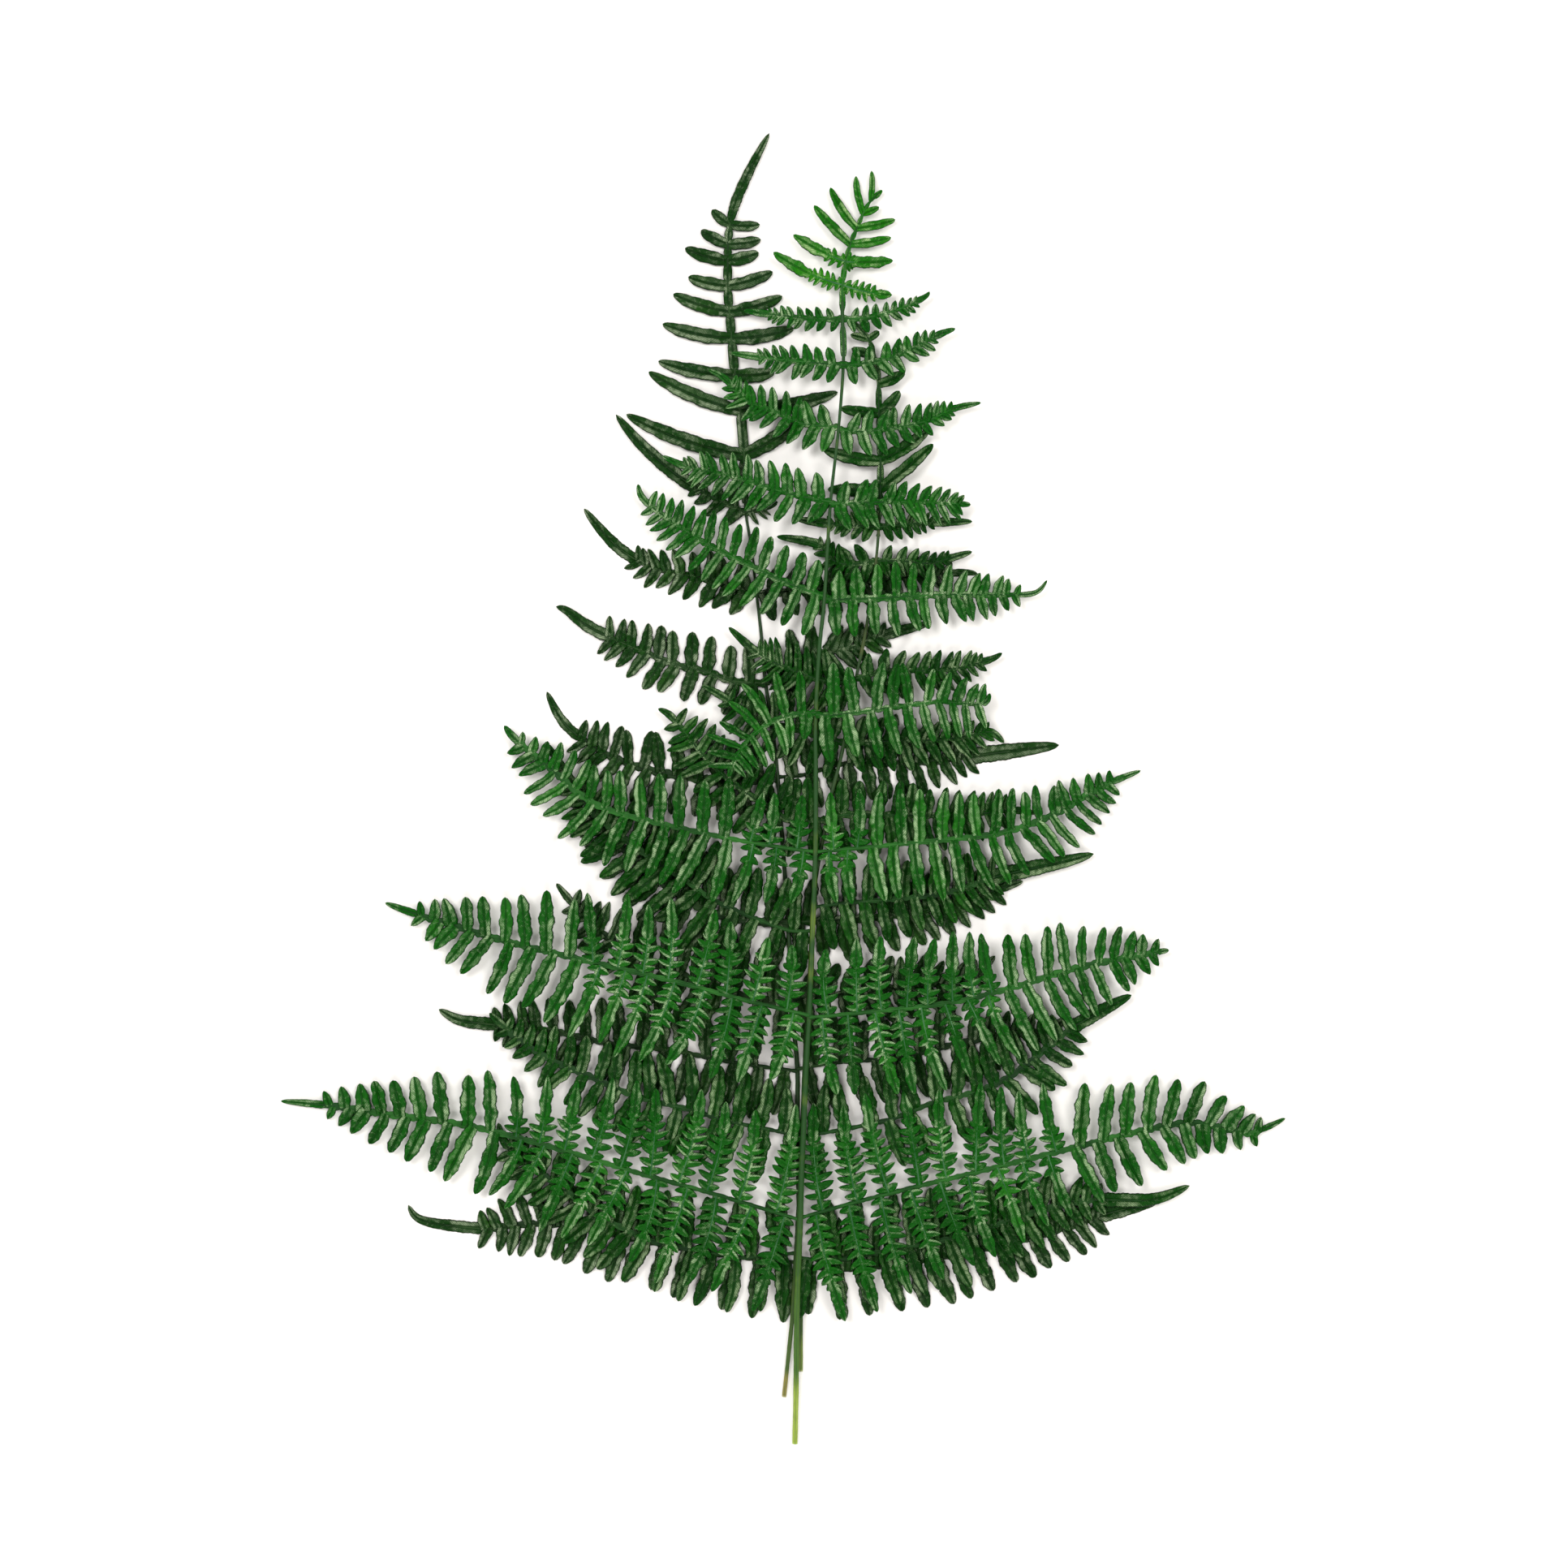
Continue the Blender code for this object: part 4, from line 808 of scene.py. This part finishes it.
class Graph:
    """Short forms for building one material's nodes."""

    def __init__(self, name):
        self.material = bpy.data.materials.new(name)
        self.material.use_nodes = True
        self.tree = self.material.node_tree
        self.shader = self.tree.nodes["Principled BSDF"]

    def put(self, socket, value):
        if isinstance(value, bpy.types.NodeSocket):
            self.tree.links.new(value, socket)
        else:
            socket.default_value = value

    def node(self, kind, **settings):
        node = self.tree.nodes.new(kind)
        for name, value in settings.items():
            setattr(node, name, value)
        return node

    def math(self, operation, *values):
        node = self.node("ShaderNodeMath", operation=operation)
        for socket, value in zip(node.inputs, values):
            self.put(socket, value)
        return node.outputs[0]

    def times(self, first, second):
        return self.math("MULTIPLY", first, second)

    def plus(self, first, second):
        return self.math("ADD", first, second)

    def less(self, first, second):
        return self.math("SUBTRACT", first, second)

    def mix(self, share, first, second):
        node = self.node("ShaderNodeMix", data_type="RGBA", blend_type="MIX")
        for index, value in zip((0, 6, 7), (share, first, second)):
            self.put(node.inputs[index], value)
        return node.outputs[2]

    def ramp(self, value, low, high, to_low=0.0, to_high=1.0):
        node = self.node("ShaderNodeMapRange", interpolation_type="SMOOTHSTEP")
        for socket, item in zip(node.inputs, (value, low, high, to_low, to_high)):
            self.put(socket, item)
        return node.outputs[0]

    def noise(self, place, scale, detail=2.0, rough=0.5):
        node = self.node("ShaderNodeTexNoise")
        for key, value in {"Vector": place, "Scale": scale, "Detail": detail,
                           "Roughness": rough}.items():
            self.put(node.inputs[key], value)
        return node.outputs["Fac"]

    def place(self):
        return self.node("ShaderNodeTexCoord").outputs["Object"]

    def attribute(self, name):
        node = self.node("ShaderNodeAttribute", attribute_name=name)
        parts = self.node("ShaderNodeSeparateXYZ")
        self.put(parts.inputs[0], node.outputs["Vector"])
        return parts.outputs

    def finish(self, colour, rough, specular, height, strength, distance):
        """Sets the surface: colour, roughness, specular level and bump."""
        self.put(self.shader.inputs["Base Color"], colour)
        self.put(self.shader.inputs["Roughness"], rough)
        self.shader.inputs["Specular IOR Level"].default_value = specular
        bump = self.node("ShaderNodeBump")
        bump.inputs["Strength"].default_value = strength
        bump.inputs["Distance"].default_value = distance
        self.put(bump.inputs["Height"], height)
        self.put(self.shader.inputs["Normal"], bump.outputs[0])
        return self.material


# Side veins: how much they slant forward for each mm aside, and radians of their wave a mm.
VEIN_SLANT = 1.15
VEIN_RATE = 5.4
VEIN_WOBBLE = 1.3
LEAF_SPECULAR = 0.07
RIB_SPECULAR = 0.15
STEM_SPECULAR = 0.2
RIB_ROUGHNESS = 0.45
STEM_ROUGHNESS = 0.34
# The pale ring at a stem's cut end, in millimetres along it.
CUT_LENGTH = 1.2


def leaf_material(name, dark, mid, light, painted_shade, painted_sheen, gloss):
    """A leathery fern leaf: sunk midvein, slanting side veins, uneven green, painted sheen and
    glints, painted shade in the groove and on the margins, and dull gloss.
    """
    g = Graph(name)
    along, side, across = g.attribute("leaf")
    pick, _, plain = g.attribute("tone")
    place = g.place()
    share = g.math("ABSOLUTE", across)
    slant = g.less(along, g.times(g.math("ABSOLUTE", side), VEIN_SLANT))
    wobble = g.times(g.less(g.noise(place, 260.0), 0.5), VEIN_WOBBLE)
    veins = g.math("SINE", g.times(g.plus(slant, wobble), VEIN_RATE))
    fine = g.noise(place, 480.0, 3.0, 0.6)
    patch = g.noise(place, 150.0)

    # The green differs from leaf to leaf and in patches, and is lighter between the veins.
    amount = g.plus(g.times(pick, 0.42), g.times(g.noise(place, 34.0, 3.0), 0.75))
    amount = g.plus(amount, g.times(g.less(patch, 0.5), 0.9))
    body = g.mix(g.ramp(amount, 0.1, 0.62), dark, mid)
    body = g.mix(g.ramp(amount, 0.58, 1.15), body, light)
    vein_tone = g.times(g.ramp(veins, -1.0, 1.0), g.ramp(share, 0.08, 0.4))
    body = g.mix(g.times(vein_tone, 0.22), body, light)
    body = g.mix(g.times(g.ramp(fine, 0.58, 0.75), 0.22), body, light)

    # Painted sheen: pale highlight patches on the swell of the halves, mostly on one half picked
    # per leaf, broken up by veins and grain.
    swell = g.times(g.ramp(share, 0.12, 0.4), g.ramp(share, 0.95, 0.7))
    one_half = g.math("MAXIMUM", g.ramp(across, -0.1, 0.15), g.ramp(plain, 1.0, 0.0))
    sheen_share = g.plus(g.noise(place, 105.0, 1.5), g.times(pick, 0.10))
    sheen_share = g.plus(sheen_share, g.times(g.less(fine, 0.5), 0.35))
    sheen_share = g.times(g.ramp(sheen_share, 0.44, 0.74), g.times(swell, one_half))
    lit_side = g.times(across, g.less(pick, 0.5))
    sheen_share = g.times(sheen_share, g.ramp(lit_side, -0.12, 0.12, 0.25, 1.0))
    sheen_share = g.times(sheen_share, g.ramp(veins, -0.9, 0.7, 0.4, 0.95))
    body = g.mix(g.times(sheen_share, g.ramp(fine, 0.3, 0.6, 0.35, 1.0)), body, painted_sheen)
    # Painted glints: small pale highlight specks along the veins.
    painted_glint = g.times(g.ramp(fine, 0.52, 0.66), g.ramp(veins, -0.2, 0.9, 0.15, 1.0))
    body = g.mix(g.times(painted_glint, 0.2), body, painted_sheen)

    # Painted shade in the sunk groove, with a light midvein in it, and painted shade on the
    # rolled-under margins.
    groove = g.times(g.ramp(share, 0.2, 0.08, 0.0, 0.7), g.ramp(plain, 1.0, 0.0))
    body = g.mix(groove, body, painted_shade)
    body = g.mix(g.ramp(share, 0.05, 0.0, 0.0, 0.6), body, light)
    # Painted shade on the rolled-under margins.
    body = g.mix(g.ramp(share, 0.8, 0.97, 0.0, 0.85), body, painted_shade)

    rough = g.plus(g.times(patch, 0.16), gloss - 0.12)
    height = g.times(g.ramp(veins, -1.0, 1.0, 0.0, 0.45), g.ramp(share, 0.05, 0.35))
    height = g.plus(height, g.times(fine, 3.0))
    height = g.plus(height, g.times(g.noise(place, 950.0), 1.3))
    height = g.plus(height, g.times(patch, 7.0))
    return g.finish(body, rough, LEAF_SPECULAR, height, 1.0, 0.0003)


def rib_material(name, dark, light):
    """The raised rib of a pinna or a pinnule, finely mottled."""
    g = Graph(name)
    place = g.place()
    fine = g.noise(place, 700.0)
    body = g.mix(g.ramp(g.noise(place, 60.0, 3.0), 0.35, 0.7), dark, light)
    body = g.mix(g.times(fine, 0.3), body, light)
    rough = g.plus(g.times(fine, 0.2), RIB_ROUGHNESS)
    return g.finish(body, rough, RIB_SPECULAR, fine, 0.4, 0.0002)


def stem_material(name, tip, middle, foot, end, pale):
    """A rachis: green above, paler towards its cut end, streaked and speckled."""
    g = Graph(name)
    along, _, across = g.attribute("leaf")
    place = g.place()
    stretched = g.node("ShaderNodeMapping")
    stretched.inputs["Scale"].default_value = (1.0, 0.06, 1.0)
    g.put(stretched.inputs["Vector"], place)
    streak = g.noise(stretched.outputs[0], 1500.0, 3.0)
    broad = g.noise(place, 45.0, 3.0)
    fine = g.noise(place, 900.0)
    body = g.mix(g.ramp(along, pale, pale * 2 + 60), middle, tip)
    body = g.mix(g.ramp(along, pale * 0.55, pale, 1.0, 0.0), body, foot)
    body = g.mix(g.ramp(along, CUT_LENGTH, 0.0), body, end)
    body = g.mix(g.times(g.ramp(streak, 0.45, 0.7), 0.35), body, tip)
    body = g.mix(g.times(g.ramp(broad, 0.55, 0.75), 0.3), body, foot)
    body = g.mix(g.ramp(g.math("ABSOLUTE", across), 0.35, 0.0, 0.0, 0.5), body, tip)
    rough = g.plus(g.times(fine, 0.2), STEM_ROUGHNESS)
    return g.finish(body, rough, STEM_SPECULAR, streak, 0.5, 0.0002)


# Leaves: dark, middle and light green, painted shade for the groove and the margins, painted
# sheen, and roughness.
LEAF_LOOKS = {
    "front leaf": ((4, 54, 3), (9, 76, 8), (34, 106, 22), (2, 36, 3), (160, 184, 140), 0.27),
    "front crown leaf": (
        (6, 66, 3), (16, 98, 5), (52, 132, 16), (4, 46, 4), (162, 192, 130), 0.27),
    "back left leaf": ((5, 36, 4), (12, 52, 8), (34, 74, 20), (5, 24, 4), (142, 158, 126), 0.28),
    "back right leaf": ((3, 40, 3), (8, 58, 5), (26, 84, 14), (3, 26, 3), (142, 164, 122), 0.27),
}
# Ribs: dark and light green.
RIB_LOOKS = {
    "front rib": ((3, 46, 6), (40, 100, 32)),
    "back left rib": ((6, 34, 7), (40, 70, 30)),
    "back right rib": ((4, 36, 6), (32, 76, 26)),
    "front midvein": ((20, 72, 34), (66, 110, 70)),
}
# Stems: upper part, middle, pale foot, cut end, and the length of the pale foot in mm.
STEM_LOOKS = {
    "front stem": ((20, 62, 14), (66, 100, 34), (144, 164, 66), (172, 200, 96), 36.0),
    "back left stem": ((22, 52, 14), (52, 78, 30), (98, 118, 50), (168, 176, 120), 20.0),
    "back right stem": ((30, 60, 18), (64, 88, 34), (132, 124, 64), (186, 180, 130), 14.0),
}
MATERIALS = {}
for make, looks in ((leaf_material, LEAF_LOOKS), (rib_material, RIB_LOOKS),
                    (stem_material, STEM_LOOKS)):
    for name, look in looks.items():
        MATERIALS[name] = make(name, *(srgb(*v) if isinstance(v, tuple) else v for v in look))


def dress(skin, frond, node):
    """Makes a piece of the gathered mesh and ties it to its body, node and slot."""
    name = frond.name
    plant = name.replace("_frond", "").replace("_", " ")
    leaf = "front crown leaf" if node == "front_frond_tip" else f"{plant} leaf"
    kinds = [leaf, f"{plant} rib", f"{plant} stem"]
    if frond.layer == FRONT:
        kinds.append("front midvein")
    thing = skin.build(node, [MATERIALS[kind] for kind in kinds])
    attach(thing, "root")
    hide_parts(node)


for frond in FRONDS:
    counts = {"left": 0, "right": 0}
    for row in frond.pinnae:
        side = row[0]
        skin = Skin()
        # Neighbours on a side lie on two levels in turn, so that they clear each other.
        add_pinna(skin, frond, counts[side] % 2, row)
        counts[side] += 1
        dress(skin, frond, f"{frond.name}_{side}_pinna_{counts[side]:02d}")
    skin = Skin()
    add_crown(skin, frond, (max(counts.values()) + 1) % 2)
    dress(skin, frond, f"{frond.name}_tip")
    skin = Skin()
    add_rachis(skin, frond)
    dress(skin, frond, f"{frond.name}_rachis")

# The pale surface that the bunch lies on, in metres.
floor_mesh = bpy.data.meshes.new("floor")
floor_mesh.from_pydata([(-4, -4, 0), (4, -4, 0), (4, 4, 0), (-4, 4, 0)], [], [(0, 1, 2, 3)])
floor = bpy.data.objects.new("floor", floor_mesh)
bpy.context.scene.collection.objects.link(floor)
paper = Graph("paper")
for key, value in {"Base Color": (0.93, 0.9, 0.872, 1.0), "Roughness": 0.9,
                   "Specular IOR Level": 0.1}.items():
    paper.shader.inputs[key].default_value = value
floor_mesh.materials.append(paper.material)


def add_light(name, place, power, colour):
    """A round lamp, a metre across, that faces the middle of the bunch."""
    light = bpy.data.lights.new(name, "AREA")
    light.shape = "DISK"
    light.size = 1.0
    light.energy = power
    light.color = colour
    lamp = bpy.data.objects.new(name, light)
    lamp.location = place
    toward = Vector((0.0, 0.0, 0.0)) - Vector(place)
    lamp.rotation_euler = toward.to_track_quat("-Z", "Y").to_euler()
    bpy.context.scene.collection.objects.link(lamp)


add_light("key", (-0.9, 0.6, 2.7), 38.0, (1.0, 1.0, 1.0))
add_light("fill", (0.95, 0.45, 2.5), 27.0, (1.0, 0.99, 0.97))
add_light("low", (0.0, -1.25, 2.5), 20.0, (1.0, 0.99, 0.96))

# A room that is bright at the horizon and dark overhead: heights on the unit sphere where
# it fades, then the strengths below and above.
SKY_FADE = (0.4, 0.85, 1.15, 0.1)
world = bpy.data.worlds.new("studio")
world.use_nodes = True
sky = world.node_tree
direction = sky.nodes.new("ShaderNodeTexCoord")
parts = sky.nodes.new("ShaderNodeSeparateXYZ")
fade = sky.nodes.new("ShaderNodeMapRange")
fade.interpolation_type = "SMOOTHSTEP"
for socket, value in zip(fade.inputs[1:], SKY_FADE):
    socket.default_value = value
sky.links.new(direction.outputs["Generated"], parts.inputs[0])
sky.links.new(parts.outputs[2], fade.inputs[0])
sky.nodes["Background"].inputs[0].default_value = (1.0, 0.995, 0.98, 1.0)
sky.links.new(fade.outputs[0], sky.nodes["Background"].inputs[1])
bpy.context.scene.world = world

lens = bpy.data.cameras.new("camera")
lens.lens = 85.0
lens.sensor_width = 36.0
lens.clip_end = 20.0
camera = bpy.data.objects.new("camera", lens)
camera.location = (0.0004, 0.0022, 1.739)
bpy.context.scene.collection.objects.link(camera)
bpy.context.scene.camera = camera
bpy.context.scene.view_settings.view_transform = "Standard"
